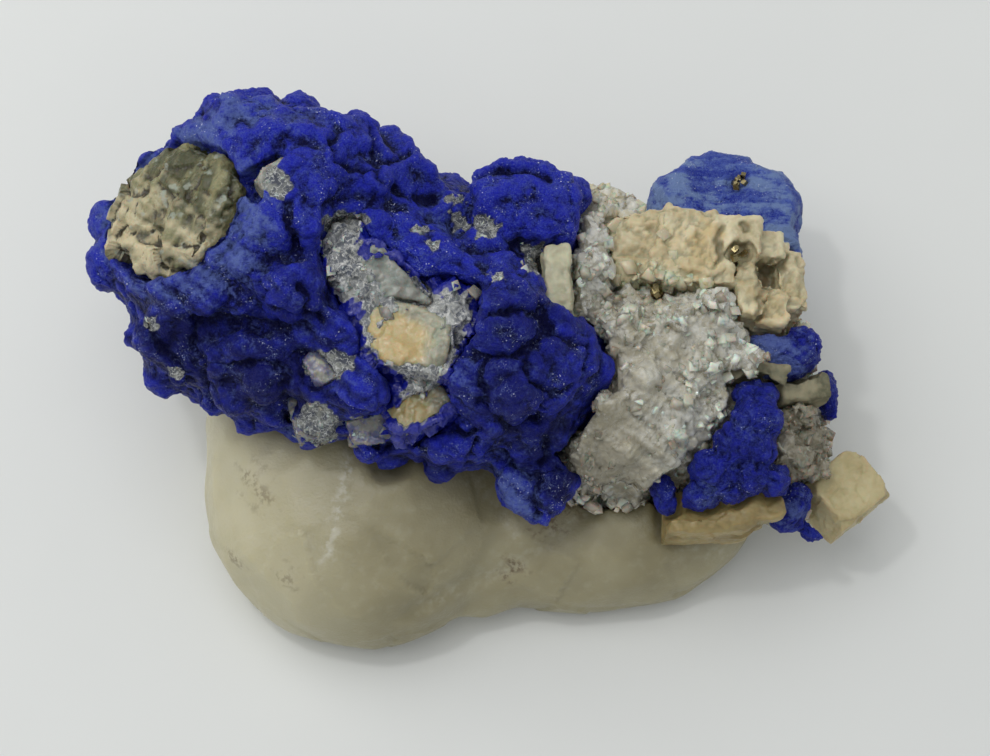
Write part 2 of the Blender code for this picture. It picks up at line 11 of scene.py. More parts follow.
import bmesh
import bpy
import numpy as np
from mathutils import Matrix, Vector
from mathutils.bvhtree import BVHTree


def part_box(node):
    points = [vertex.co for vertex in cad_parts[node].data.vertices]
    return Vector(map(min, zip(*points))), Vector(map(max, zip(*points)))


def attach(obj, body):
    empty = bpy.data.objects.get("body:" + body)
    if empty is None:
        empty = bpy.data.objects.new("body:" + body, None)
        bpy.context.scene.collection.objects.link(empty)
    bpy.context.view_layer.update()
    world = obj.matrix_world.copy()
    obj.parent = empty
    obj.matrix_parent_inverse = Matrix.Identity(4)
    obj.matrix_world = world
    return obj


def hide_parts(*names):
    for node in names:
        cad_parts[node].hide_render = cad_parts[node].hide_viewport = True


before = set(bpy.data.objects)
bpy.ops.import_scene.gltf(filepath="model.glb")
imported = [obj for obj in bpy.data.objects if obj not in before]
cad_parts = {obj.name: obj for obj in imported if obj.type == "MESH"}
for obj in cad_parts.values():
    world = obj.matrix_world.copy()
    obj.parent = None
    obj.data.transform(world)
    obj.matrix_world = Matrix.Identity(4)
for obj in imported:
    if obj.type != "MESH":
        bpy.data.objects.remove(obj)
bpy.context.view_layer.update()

MM = 0.001

# %% [markdown]
# ## Camera
# Small minerals are shown from high above, close up, with a long lens, so that their sides hardly
# converge. The camera sits on a line that rises 72 degrees from the table and looks at a point inside the
# specimen. A place on the picture can then be turned into a line of sight, which is handy for seating
# details where the eye wants them.

# %% Camera and lines of sight
PICTURE = (990, 756)
LENS, SENSOR = 100.0, 36.0
TARGET = Vector((4.0, 4.0, 18.0))       # millimetres
RISE = math.radians(72)
PIXEL = 0.096                           # millimetres across one picture point at the target
DISTANCE = PICTURE[0] * PIXEL * LENS / SENSOR
SIGHT = Vector((0, math.cos(RISE), -math.sin(RISE)))
EYE = TARGET - SIGHT * DISTANCE
RIGHT = Vector((1, 0, 0))
UPWARD = RIGHT.cross(SIGHT)

camera = bpy.data.objects.new("camera", bpy.data.cameras.new("camera"))
camera.data.lens = LENS
camera.data.sensor_width = SENSOR
camera.data.clip_start = 0.01
camera.location = EYE * MM
camera.rotation_euler = SIGHT.to_track_quat("-Z", "Y").to_euler()
bpy.context.scene.collection.objects.link(camera)
bpy.context.scene.camera = camera


def line_of_sight(across, down):
    """The direction from the eye through a place on the picture."""
    shift_x = (across - PICTURE[0] / 2) * PIXEL
    shift_y = (PICTURE[1] / 2 - down) * PIXEL
    return (SIGHT * DISTANCE + RIGHT * shift_x + UPWARD * shift_y).normalized()


print("the camera stands", round(DISTANCE), "mm from the stone")

# %% [markdown]
# ## Light and table
# Soft studio light: one big panel high at the left and behind, so that shadows fall softly to the right
# and forward. A lower panel at the side models the knobs, a small one puts sparkle on wet-looking faces,
# and a dim grey surround fills the shadows. The table is one wide sheet, matt and nearly white.

# %% Light and table
scene = bpy.context.scene
scene.view_settings.view_transform = "Standard"
world = bpy.data.worlds.new("studio")
world.use_nodes = True
surround = world.node_tree.nodes["Background"]
surround.inputs["Color"].default_value = (0.95, 0.98, 1.0, 1)
scene.world = world


def soft_panel(name, place, aim, size, power, colour):
    """A square light panel; place, aim and size are in millimetres."""
    light = bpy.data.lights.new(name, "AREA")
    light.size = size * MM
    light.energy = power
    light.color = colour
    panel = bpy.data.objects.new(name, light)
    panel.location = Vector(place) * MM
    panel.rotation_euler = (Vector(aim) - Vector(place)).to_track_quat("-Z", "Y").to_euler()
    scene.collection.objects.link(panel)


soft_panel("key", place=(-130, 90, 420), aim=(0, 0, 10), size=420, power=0.76, colour=(1.0, 0.985, 0.95))
soft_panel("side", place=(-330, 220, 180), aim=(-60, 40, 0), size=260, power=0.20, colour=(1.0, 0.99, 0.96))
soft_panel("sparkle", place=(-90, 40, 330), aim=(0, 0, 10), size=24, power=0.11, colour=(1.0, 1.0, 1.0))

WIDE = 3                                # metres from the middle of the table to its edge
corners = [(-WIDE, -WIDE, 0), (WIDE, -WIDE, 0), (WIDE, WIDE, 0), (-WIDE, WIDE, 0)]
table_sheet = bpy.data.meshes.new("table")
table_sheet.from_pydata(corners, [], [(0, 1, 2, 3)])
table = bpy.data.objects.new("table", table_sheet)
scene.collection.objects.link(table)

# %% [markdown]
# ## Node trees in a few words
# Finishes and Geometry Nodes are both networks of small boxes. A wire here is one output of such a box.
# Adding or multiplying wires adds the maths boxes that work the sum out, so a finish reads like the sum
# that it is. Boxes could be joined one by one in the node editor, but a script can repeat and name them.

# %% Helpers for node trees
def plug(socket, value):
    """Sets a socket to a constant, or runs a wire into it."""
    if isinstance(value, Wire):
        socket.id_data.links.new(value.socket, socket)
    else:
        socket.default_value = value


def add(tree, kind, sockets=None, output=0, **settings):
    """Adds a node and returns the wire of one of its outputs."""
    node = tree.nodes.new(kind)
    for key, value in settings.items():
        setattr(node, key, value)
    for key, value in (sockets or {}).items():
        plug(node.inputs[key], value)
    return Wire(node.outputs[output])


class Wire:
    """One output of a node, which can be used in sums."""
    def __init__(self, socket):
        self.socket, self.tree = socket, socket.id_data

    def other(self, output):
        return Wire(self.socket.node.outputs[output])

    def maths(self, operation, *values):
        return add(self.tree, "ShaderNodeMath", dict(enumerate(values)), operation=operation)

    def vector(self, operation, value):
        key = "Scale" if operation == "SCALE" else 1
        return add(self.tree, "ShaderNodeVectorMath", {0: self, key: value}, operation=operation)

    def __add__(self, value):
        return self.maths("ADD", self, value)

    def __radd__(self, value):
        return self.maths("ADD", value, self)

    def __sub__(self, value):
        return self.maths("SUBTRACT", self, value)

    def __rsub__(self, value):
        return self.maths("SUBTRACT", value, self)

    def __mul__(self, value):
        return self.maths("MULTIPLY", self, value)

    def __truediv__(self, value):
        return self.maths("DIVIDE", self, value)

    def __rtruediv__(self, value):
        return self.maths("DIVIDE", value, self)

    def __abs__(self):
        return self.maths("ABSOLUTE", self)


# %% [markdown]
# Most finishes are colours mixed by soft noise. These helpers blend two colours, turn one range of
# numbers into another, and make noise whose size is given in millimetres.

# %% Helpers for colour and noise
def blend(share, first, second):
    """A colour mix: share 0 gives first and 1 gives second."""
    mixed = add(share.tree, "ShaderNodeMix", {0: share}, output=2, data_type="RGBA")
    for key, colour in ((6, first), (7, second)):
        plug(mixed.socket.node.inputs[key], (*colour, 1) if isinstance(colour, tuple) else colour)
    return mixed


def ramp(value, low, high, to_low=0.0, to_high=1.0):
    """Turns low..high into to_low..to_high, softly at both ends."""
    return add(value.tree, "ShaderNodeMapRange", dict(enumerate((value, low, high, to_low, to_high))),
               interpolation_type="SMOOTHSTEP")


def cloud(place, size, detail=3.0, roughness=0.55):
    """Soft noise whose lumps are about that many millimetres."""
    return add(place.tree, "ShaderNodeTexNoise", {"Vector": place, "Scale": 1 / size, "Detail": detail,
                                                  "Roughness": roughness})


def veins(place, size, detail=4.0, roughness=0.55):
    """Near 0 on thin wandering lines: the places where soft noise crosses its middle."""
    return abs(cloud(place, size, detail, roughness) - 0.5)


def ragged(value, fine, amount):
    """Breaks up the edge of a painted patch with fine noise."""
    return value + (fine - 0.5) * amount


# %% [markdown]
# The grey surround is a little brighter behind the stone than in front, so that the front edges keep some
# shadow.

# %% Surround
FRONT_GLOW, BACK_GLOW = 0.50, 0.56
sky = add(world.node_tree, "ShaderNodeTexCoord", output="Generated")
backward = add(world.node_tree, "ShaderNodeSeparateXYZ", {0: sky}, output=1)
plug(surround.inputs["Strength"], ramp(backward, -0.8, 0.8, FRONT_GLOW, BACK_GLOW))
print("the surround glows from", FRONT_GLOW, "in front to", BACK_GLOW, "behind")

# %% [markdown]
# ## From a faceted solid to a skin
# The frame's solids are a few hundred flat triangles each. A finer skin comes from a copy of one: its
# doubled corners are merged, it grows a little so that it closes the hairline gaps to its neighbours, and
# a voxel remesh gives it small even faces that a displacement can push in and out. The work is done in
# millimetres and turned into metres at the very end, because remeshing and noise are easier to think
# about at that scale.

# %% Skins
def as_object(mesh, name):
    data = bpy.data.meshes.new(name)
    mesh.to_mesh(data)
    mesh.free()
    obj = bpy.data.objects.new(name, data)
    scene.collection.objects.link(obj)
    return obj


def solids(*nodes):
    """Those nodes' solids in one mesh, in millimetres."""
    mesh = bmesh.new()
    for name in nodes:
        mesh.from_mesh(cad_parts[name].data)
    mesh.transform(Matrix.Scale(1 / MM, 4))
    return mesh


def solid_of(*nodes, moved=(0, 0, 0)):
    """A welded copy of those nodes' solids as one object."""
    mesh = solids(*nodes)
    bmesh.ops.remove_doubles(mesh, verts=mesh.verts[:], dist=0.001)
    obj = as_object(mesh, "work")
    obj.data.transform(Matrix.Translation(moved))
    return obj


def bake(obj):
    """Turns obj's modifiers into its own plain mesh."""
    graph = bpy.context.evaluated_depsgraph_get()
    data = bpy.data.meshes.new_from_object(obj.evaluated_get(graph), preserve_all_data_layers=True,
                                           depsgraph=graph)
    obj.modifiers.clear()
    obj.data = data
    return obj


def copy_of(obj, name):
    copy = bpy.data.objects.new(name, obj.data.copy())
    scene.collection.objects.link(copy)
    return copy


def fine_skin(obj, voxel, grow=0.0, rounds=2):
    """An even skin round obj, grown outwards and softened."""
    if grow:
        swell = obj.modifiers.new("swell", "DISPLACE")
        swell.mid_level = 0
        swell.strength = grow
    remesh = obj.modifiers.new("even", "REMESH")
    remesh.mode = "VOXEL"
    remesh.voxel_size = voxel
    soften = obj.modifiers.new("soften", "SMOOTH")
    soften.factor = 0.5
    soften.iterations = rounds
    return bake(obj)


# %% [markdown]
# ## Points and paint
# A script can read and move every point of a mesh at once as a table of numbers. It can also paint a
# number on each point, an attribute, which the finish reads later: where the stone is pale, dirty or
# glassy. A texture could say the same, but it would need an unwrapped mesh, and a remeshed skin has none.

# %% Points and paint
def read_points(items, key, width=1):
    flat = np.empty(len(items) * width, np.float32)
    items.foreach_get(key, flat)
    return flat.reshape(-1, width) if width > 1 else flat


def points_of(obj):
    return read_points(obj.data.vertices, "co", 3)


def normals_of(obj):
    return read_points(obj.data.vertex_normals, "vector", 3)


def painted_on(obj, name):
    return read_points(obj.data.attributes[name].data, "value")


def move_points(obj, places):
    obj.data.vertices.foreach_set("co", places.astype(np.float32).ravel())
    obj.data.update()


def pushed(obj, share, bearing):
    """Moves every point along one bearing, by its own share in millimetres."""
    move_points(obj, points_of(obj) + np.outer(share, np.array(bearing)))


def paint(obj, name, values):
    """Stores a number at every point of obj's mesh, for its finish to read."""
    layer = obj.data.attributes.get(name) or obj.data.attributes.new(name, "FLOAT", "POINT")
    each = np.broadcast_to(values, len(layer.data))
    layer.data.foreach_set("value", np.clip(each, 0, 1).astype(np.float32))


# %% [markdown]
# The finishes paint shade into the creases and light onto the crests, so a finish needs to know which is
# which. They are found by comparing the skin with a smoothed copy of itself. The last helper hands a
# finished piece to the frame.

# %% Crests, and a piece that is done
def note_crests(obj, rounds=24, span=0.35):
    """Paints "crest": near 1 where the skin stands proud of its smoothed shape, near 0 in creases."""
    copy = copy_of(obj, "smoothed")
    relax = copy.modifiers.new("relax", "SMOOTH")
    relax.factor = 0.8
    relax.iterations = rounds
    proud = np.einsum("ij,ij->i", points_of(obj) - points_of(bake(copy)), normals_of(obj))
    bpy.data.objects.remove(copy)
    paint(obj, "crest", 0.5 + proud / span)


def finished(obj, name, material_slot, *nodes, smooth=True):
    """Names a piece, turns it into metres and hands it to the frame in place of its solids."""
    obj.name = obj.data.name = name
    obj.data.transform(Matrix.Scale(MM, 4))
    if smooth:
        obj.data.shade_smooth()
    else:
        obj.data.shade_flat()
    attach(obj, "root")
    if nodes:
        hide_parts(*nodes)
    obj.data.calc_loop_triangles()
    print(name, "has", len(obj.data.loop_triangles), "triangles")


# %% [markdown]
# ## Seating details on the stone
# A detail is placed by where the eye sees it and then dropped along that line of sight onto the solid
# underneath, so it sits on the stone from every side and not only from the front. A patch is a ragged
# round spot, an outline is a corner-by-corner shape, and a line is a path, all of them named places on
# the camera's picture.

# %% Seating
def skin_of(*nodes):
    """The solids of those nodes as something that a line of sight can hit."""
    mesh = solids(*nodes)
    tree = BVHTree.FromBMesh(mesh)
    mesh.free()
    return tree


def seated(skin, across, down):
    """Where the line of sight through that place on the picture first meets skin."""
    return skin.ray_cast(EYE, line_of_sight(across, down))[0]


LONG_WAVE, SHORT_WAVE = np.array((1.9, 2.3, 1.4)), np.array((-4.1, 3.1, 5.2))     # radians a millimetre


def patches(points, skin, spots, softness=0.45):
    """How much each point lies in a list of patches; a spot is across, down, radius in mm and strength."""
    share = np.zeros(len(points))
    for across, down, radius, strength in spots:
        hit = seated(skin, across, down)
        if hit is None:
            print("no stone under", across, down)
            continue
        away = np.linalg.norm(points - np.array(hit), axis=1)
        wave = 1 + softness * np.sin(points @ LONG_WAVE + radius * 3)
        wave *= 1 + softness * 0.5 * np.sin(points @ SHORT_WAVE)
        share = np.maximum(share, strength * np.clip(1.5 - away * wave / radius, 0, 1))
    return share


def paint_patches(obj, *nodes, softness=0.45, **spots):
    """Paints a list of patches for each named attribute, seated on those nodes' solids."""
    skin = skin_of(*nodes)
    for name, places in spots.items():
        paint(obj, name, patches(points_of(obj), skin, places, softness))


print("the middle of the picture meets the stone at", seated(skin_of(*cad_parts), 495, 378))

# %% [markdown]
# The other way round, every point of a mesh can be looked up on the picture, which tells whether it lies
# inside an outline. Only points that face the eye count, so an outline does not reach through to the
# back.

# %% Outlines
def on_picture(points):
    """Where each point is seen on the picture."""
    from_eye = points - np.array(EYE)
    scale = DISTANCE / PIXEL / (from_eye @ np.array(SIGHT))
    across = PICTURE[0] / 2 + (from_eye @ np.array(RIGHT)) * scale
    down = PICTURE[1] / 2 - (from_eye @ np.array(UPWARD)) * scale
    return across, down


RIPPLES = ((3.1, 2.3, 1.1), (-5.3, 4.7, 2.9))       # radians a millimetre


def outlined(obj, outlines, edge=3.0, wander=3.0):
    """1 at the points of obj seen from the camera inside any of those outlines, fading to 0 just outside."""
    points = points_of(obj)
    across, down = on_picture(points)
    share = np.zeros(len(points))
    ripple = sum(np.sin(points @ np.array(bearing)) for bearing in RIPPLES)
    for outline in outlines:
        inside = np.zeros(len(points), bool)
        near = np.full(len(points), 1e3)
        for (x1, y1), (x2, y2) in zip(outline, outline[1:] + outline[:1]):
            crossed = ((y1 > down) != (y2 > down))
            inside ^= crossed & (across < (x2 - x1) * (down - y1) / ((y2 - y1) or 1e-9) + x1)
            along = np.clip(((across - x1) * (x2 - x1) + (down - y1) * (y2 - y1)) /
                            ((x2 - x1) ** 2 + (y2 - y1) ** 2), 0, 1)
            near = np.minimum(near, np.hypot(across - x1 - along * (x2 - x1), down - y1 - along * (y2 - y1)))
        depth = np.where(inside, near, -near) + wander * ripple
        share = np.maximum(share, np.clip(0.5 + depth / (2 * edge), 0, 1))
    faces_eye = normals_of(obj) @ np.array(SIGHT) < 0.1
    return share * faces_eye


# %% [markdown]
# Creases and seams are lines. Each is walked in short steps, every step is dropped onto the stone, and
# the points near a step are pressed in.

# %% Lines
def near_lines(points, skin, lines, width, steps=12):
    """1 on lines drawn on the picture, fading to 0 over about that width."""
    share = np.zeros(len(points))
    for line in lines:
        for start, end in zip(line, line[1:]):
            for step in range(steps):
                across = start[0] + (end[0] - start[0]) * step / steps
                down = start[1] + (end[1] - start[1]) * step / steps
                hit = seated(skin, across, down)
                if hit is not None:
                    away = np.linalg.norm(points - np.array(hit), axis=1)
                    share = np.maximum(share, np.exp(-(away / width) ** 2))
    return share


def pressed_creases(obj, skin, lines, width, depth):
    """Presses obj in along lines drawn on the picture."""
    points, normals = points_of(obj), normals_of(obj)
    dent = near_lines(points, skin, lines, width)
    move_points(obj, points - normals * (dent * depth)[:, None])


# %% [markdown]
# ## Geometry Nodes: what every tree shares
# Each tree here takes a skin and a few named sizes and gives back a new skin. The relief trees work out
# one height for every point and push the point out by it along the skin's own direction. A tree ends by
# turning copies into real geometry and setting the finish, and its result replaces the mesh, because an
# export knows no such trees.

# %% Geometry Nodes: shared steps
def label_of(key):
    """The label of an input: "knob_height" is shown as "Knob height"."""
    return key.capitalize().replace("_", " ")


def new_tree(name, **sizes):
    """A tree with a skin and those sizes as inputs; returns it, its inputs and the places of its points."""
    tree = bpy.data.node_groups.new(name, "GeometryNodeTree")
    tree.interface.new_socket("Skin", in_out="INPUT", socket_type="NodeSocketGeometry")
    for key, value in sizes.items():
        socket = tree.interface.new_socket(label_of(key), in_out="INPUT", socket_type="NodeSocketFloat")
        socket.default_value = value
    tree.interface.new_socket("Skin", in_out="OUTPUT", socket_type="NodeSocketGeometry")
    start = tree.nodes.new("NodeGroupInput").outputs
    given = {key: Wire(start[label_of(key)]) for key in ("skin", *sizes)}
    print(name, "takes", [label_of(key) for key in sizes])
    return tree, given, add(tree, "GeometryNodeInputPosition")


def close_tree(tree, geometry):
    """Ends a tree: real geometry, with the finish set."""
    real = add(tree, "GeometryNodeRealizeInstances", {"Geometry": geometry})
    done = add(tree, "GeometryNodeSetMaterial", {"Geometry": real})
    plug(tree.nodes.new("NodeGroupOutput").inputs[0], done)
    return tree


def close_relief(tree, skin, height):
    """Ends a tree that pushes every point of its skin out by height."""
    outward = add(tree, "GeometryNodeInputNormal")
    push = outward.vector("SCALE", height)
    return close_tree(tree, add(tree, "GeometryNodeSetPosition", {"Geometry": skin, "Offset": push}))


def run_tree(obj, tree, finish, **sizes):
    """Runs a tree on obj with those inputs and keeps the result as obj's plain mesh."""
    modifier = obj.modifiers.new(tree.name, "NODES")
    modifier.node_group = tree
    identifiers = {item.name: item.identifier for item in tree.interface.items_tree if item.in_out == "INPUT"}
    for key, value in sizes.items():
        modifier[identifiers[label_of(key)]] = value
    for step in tree.nodes:
        if step.bl_idname == "GeometryNodeSetMaterial":
            step.inputs["Material"].default_value = finish
    return bake(obj)


# %% [markdown]
# ## The knobbly crust
# Lazurite here has a skin like a cauliflower: rounded knobs, each covered in smaller ones, with sharp
# creases between. Noise does that when it is folded: its value runs smoothly through the middle, so the
# distance from the middle is a swelling with a sharp crease where the noise crossed over. Three sizes are
# added up, and the place is stirred first, so that no swelling is a plain oval. Knobs could be sculpted
# one by one, but there are thousands, and a rule can still be turned up or down for each piece.

# %% Geometry Nodes: crust
def crust_tree():
    tree, given, place = new_tree("Knobbly crust", knob=2.6, knob_height=0.5, bud=1.2, bud_height=0.25,
                                  grain=0.6, grain_height=0.1)
    stir = cloud(place, 2.0, 2.0, 0.5).other("Color").vector("SUBTRACT", (0.5, 0.5, 0.5))
    where = place.vector("ADD", stir.vector("SCALE", 2.4))
    height = 0.0
    for kind in ("knob", "bud", "grain"):
        swelling = veins(where, given[kind], 0.0, 0.5) * 4.0
        height = height + (swelling - 0.4) * given[kind + "_height"]
    return close_relief(tree, given["skin"], height)


crust = crust_tree()

# %% [markdown]
# ## Finishes: shared pieces
# Every finish is worked out in millimetres from the object's own coordinates, so a pattern stays fixed in
# the stone. Small grains and pits that are too fine to model go in as bump, the larger forms are all real
# geometry.

# %% Finish helpers
class Finish:
    """A Principled finish, with its place in the stone in millimetres."""
    def __init__(self, name, **sockets):
        self.material = bpy.data.materials.new(name)
        self.material.use_nodes = True
        self.tree = self.material.node_tree
        self.shader = self.tree.nodes["Principled BSDF"]
        self.set(**sockets)
        self.place = add(self.tree, "ShaderNodeTexCoord", output="Object").vector("SCALE", 1 / MM)

    def set(self, **sockets):
        """Sets sockets of the shader, each to a constant or a wire."""
        for label, value in sockets.items():
            plug(self.shader.inputs[label.replace("_", " ")], value)

    def painted(self, name):
        """The number that was painted on the skin under that name."""
        return add(self.tree, "ShaderNodeAttribute", output="Fac", attribute_name=name)

    def bump(self, height, depth, strength=1.0):
        """Bump of that depth in millimetres."""
        self.set(Normal=add(self.tree, "ShaderNodeBump", {"Height": height, "Distance": depth * MM,
                                                          "Strength": strength}))


# %% [markdown]
# ## Ultramarine and denim
# Good lazurite is a violet-leaning blue so deep that its shadows go almost black. Where it is weathered
# or mixed with fine white calcite it fades to denim. Every tone is a layer: painted shade, near black, in
# the creases and painted light on the crests, dusted with fine pale specks, crossed by a few pale veins and
# rare white flecks painted as glints, pale where a painted attribute says so, and darker where another
# one says so, which is partly a deeper blue and partly painted shade. Where the skin is painted "glass",
# grey calcite shows through instead, crossed by thin white lines painted as glints.

# %% Blue finish
def blue_finish(name, crease_shade, deep_and_shade, lit_and_lively, dusty, pale, pale_bias=0.0, layers=(1, 1, 1), spread=3.0,
                banding=0.0):
    look = Finish(name, Roughness=0.45, IOR=1.5, Specular_IOR_Level=0.2)
    place, crest = look.place, look.painted("crest")
    layered = place.vector("MULTIPLY", layers)
    mottle = cloud(layered, spread)
    fine = cloud(place, 0.34, 5.0, 0.65)
    # Painted light and shade: lighter on the crests and darker off them, mixed with a random mottle.
    blue = blend(ramp(crest + mottle * 0.9, 0.65, 1.35), deep_and_shade, lit_and_lively)
    specks = ramp(cloud(place, 0.16, 2.0, 0.7), 0.45, 0.62) * ramp(mottle, 0.3, 0.65, 0.35, 0.75)
    blue = blend(specks, blue, dusty)
    # Painted shade: the creases go nearly black.
    blue = blend(ramp(crest + fine, 0.52, 0.86), crease_shade, blue)
    # Darker where painted so: partly a deeper blue, partly painted shade in seams and on lower sides.
    blue = blend(look.painted("deep_and_shade"), blue, crease_shade)
    haze = ramp(cloud(layered, 1.3, 5.0, 0.7), 0.44, 0.68) * ramp(fine, 0.44, 0.62)
    blue = blend(haze * 0.4, blue, pale)
    weathered = ragged(look.painted("pale"), fine, 1.6) + ((mottle - 0.5) * banding + pale_bias)
    blue = blend(ramp(weathered, 0.2, 1.1), blue, pale)
    region = ramp(cloud(place, 2.2), 0.48, 0.64)
    blue = blend(ramp(veins(place, 0.9, 3.0, 0.6), 0.014, 0.0, 0.0, 0.7) * region, blue, (0.20, 0.26, 0.52))
    # Rare white flecks: painted glints.
    blue = blend(ramp(cloud(place, 0.17, 0.0), 0.76, 0.8) * region, blue, (0.66, 0.70, 0.84))
    clouded = blend(ramp(cloud(place, 0.7, 4.0), 0.38, 0.66), (0.11, 0.12, 0.15), (0.36, 0.37, 0.34))
    # Thin white lines on the bare calcite: painted glints on the grain edges.
    clouded = blend(ramp(veins(place, 0.6), 0.03, 0.005), clouded, (0.66, 0.67, 0.66))
    shown = ramp(ragged(look.painted("glass"), fine, 1.2), 0.35, 0.65)
    look.set(Base_Color=blend(shown, blue, clouded),
             Roughness=ramp(fine, 0.3, 0.7, 0.26, 0.54) - shown * 0.3)
    look.bump(fine + cloud(place, 0.13, 2.0) * 0.4, depth=0.42)
    return look.material


ultramarine = blue_finish("ultramarine lazurite", (0.0005, 0.001, 0.040), (0.002, 0.004, 0.130),
                          (0.012, 0.019, 0.440), (0.052, 0.082, 0.480), (0.115, 0.165, 0.460))
denim = blue_finish("denim lazurite", (0.008, 0.016, 0.150), (0.014, 0.028, 0.320), (0.070, 0.118, 0.480),
                    (0.125, 0.200, 0.520), (0.190, 0.280, 0.540), pale_bias=0.25, layers=(0.16, 1, 1),
                    spread=1.1, banding=4.0)
print("blue finishes:", ultramarine.name, "and", denim.name)

# %% [markdown]
# ## The blue mass
# One skin covers the barrel, the middle, the square crystal and the pendant. It is made together with
# three small crystals that are set in it, so that they stand in no gap. It is remeshed twice: coarsely,
# to round the solid's edges, and finely, to carry the crust. The long creases of the barrel and the seams
# between the big knobs are pressed in along lines of sight, because a texture would not know where they
# run.

# %% Blue mass: where the creases and seams run
CREASES = (
    ((222, 318), (236, 292), (252, 270), (284, 256), (326, 254)),
    ((178, 322), (220, 318), (262, 330), (312, 326)),
    ((330, 205), (356, 196), (392, 206), (430, 198)),
    ((470, 246), (500, 250), (540, 243)),
    ((455, 352), (470, 300), (486, 262)),
)
SEAMS = (
    ((472, 320), (486, 313), (505, 312), (522, 307), (538, 316), (548, 328)),
    ((540, 302), (545, 320), (552, 334), (570, 342), (592, 347)),
    ((466, 352), (480, 358), (495, 359), (512, 356), (528, 350), (540, 338)),
    ((485, 360), (482, 380), (485, 398), (476, 408)),
    ((529, 352), (527, 368), (532, 382), (546, 392), (562, 396), (574, 386)),
    ((590, 346), (588, 362), (582, 378)),
    ((484, 408), (498, 418), (512, 428), (524, 422), (538, 418), (543, 400)),
    ((286, 204), (290, 228), (298, 250)),
    ((252, 276), (264, 292), (262, 308), (292, 316), (322, 318)),
    ((374, 150), (378, 176), (402, 194), (436, 198)),
    ((371, 128), (374, 145), (380, 160), (398, 159), (413, 149)),
    ((339, 128), (333, 143), (338, 160), (353, 170), (374, 168)),
    ((478, 176), (500, 169), (526, 172), (550, 180)),
    ((122, 284), (130, 302), (146, 330), (168, 352), (186, 374), (200, 398)),
    ((196, 326), (192, 345), (204, 362), (208, 390), (216, 410)),
    ((196, 362), (230, 367), (262, 362), (292, 372)),
    ((236, 298), (232, 316)), ((300, 286), (313, 300), (303, 315)), ((286, 376), (283, 396), (290, 412)),
    ((334, 397), (350, 412), (376, 413), (394, 402)),
    ((370, 462), (384, 450), (404, 446), (420, 440), (424, 462), (420, 478)),
    ((452, 428), (466, 436), (480, 430), (474, 452), (468, 466)),
    ((506, 450), (514, 468), (530, 478), (545, 473), (562, 465)),
    ((541, 476), (533, 496), (538, 518)), ((546, 438), (547, 456), (541, 468)),
)
CREASE_WIDTH, CREASE_DEPTH = 0.8, 0.9
SEAM_WIDTH, SEAM_DEPTH = 0.42, 0.8
print(len(CREASES), "creases and", len(SEAMS), "seams")

# %% Blue mass: shape
mass_skin = skin_of("lazurite_mass")
mass = solid_of("lazurite_mass", "face_crystal", "rim_crystal", "ledge_crystal")
mass = fine_skin(mass, voxel=0.35, grow=0.1, rounds=4)
pressed_creases(mass, mass_skin, CREASES, CREASE_WIDTH, CREASE_DEPTH)
mass = fine_skin(mass, voxel=0.23, rounds=16)
pressed_creases(mass, mass_skin, SEAMS, SEAM_WIDTH, SEAM_DEPTH)
run_tree(mass, crust, ultramarine, knob=2.6, knob_height=0.38, bud=1.0, bud_height=0.14, grain=0.45,
         grain_height=0.09)
print("the crust has", len(mass.data.vertices), "points")

# %% [markdown]
# ## Windows in the blue
# The broken end, the hollow and a dozen small gaps are bare of blue. Each is an outline on the picture.
# The skin is pressed in a little there and painted "glass", and round the two big ones it fades to denim,
# where the blue is thin. The mesh is then thinned where it is flat, to keep the piece light.

# %% Blue mass: windows
CAP_OUTLINE = ((108, 225), (112, 250), (128, 266), (160, 272), (196, 268), (222, 260), (236, 240), (243, 215),
               (240, 190), (226, 170), (200, 155), (165, 147), (145, 156), (126, 172), (113, 198))
EYE_OUTLINE = ((260, 170), (272, 164), (288, 176), (291, 186), (284, 200), (270, 196), (259, 186))
HOLLOW_OUTLINE = ((325, 215), (345, 210), (372, 218), (358, 230), (360, 256), (388, 264), (415, 279),
                  (440, 294), (455, 288), (472, 296), (472, 315), (461, 345), (450, 366), (440, 378),
                  (437, 400), (434, 416), (402, 426), (401, 402), (408, 378), (386, 366), (365, 348),
                  (363, 322), (361, 303), (340, 300), (329, 280), (324, 245))
GAPS = (
    ((443, 196), (452, 193), (465, 200), (462, 205), (448, 203)),
    ((450, 213), (462, 212), (470, 226), (454, 232)),
    ((472, 216), (486, 214), (502, 226), (494, 238), (476, 238)),
    ((406, 228), (428, 226), (436, 232), (412, 234)), ((426, 242), (440, 240), (440, 249), (430, 249)),
    ((486, 274), (500, 272), (505, 279), (492, 282)),
    ((308, 354), (328, 350), (358, 356), (352, 368), (332, 384), (310, 380), (302, 368)),
    ((296, 420), (306, 402), (326, 404), (340, 420), (336, 440), (318, 448), (302, 438)),
    ((346, 420), (362, 416), (384, 426), (376, 440), (356, 440)),
    ((396, 432), (412, 428), (420, 436), (402, 448)), ((140, 318), (156, 316), (160, 328), (146, 332)),
    ((168, 368), (184, 366), (184, 378), (170, 378)), ((520, 246), (543, 243), (546, 274), (528, 274)),
)
GLASS_DENT, CAP_DENT = 0.35, 0.9
MOST_TRIANGLES = 195000


def lightened(obj, triangles):
    """Collapses the flattest places until that many triangles are left."""
    thin = obj.modifiers.new("lighten", "DECIMATE")
    obj.data.calc_loop_triangles()
    thin.ratio = min(1.0, triangles / len(obj.data.loop_triangles))
    return bake(obj)


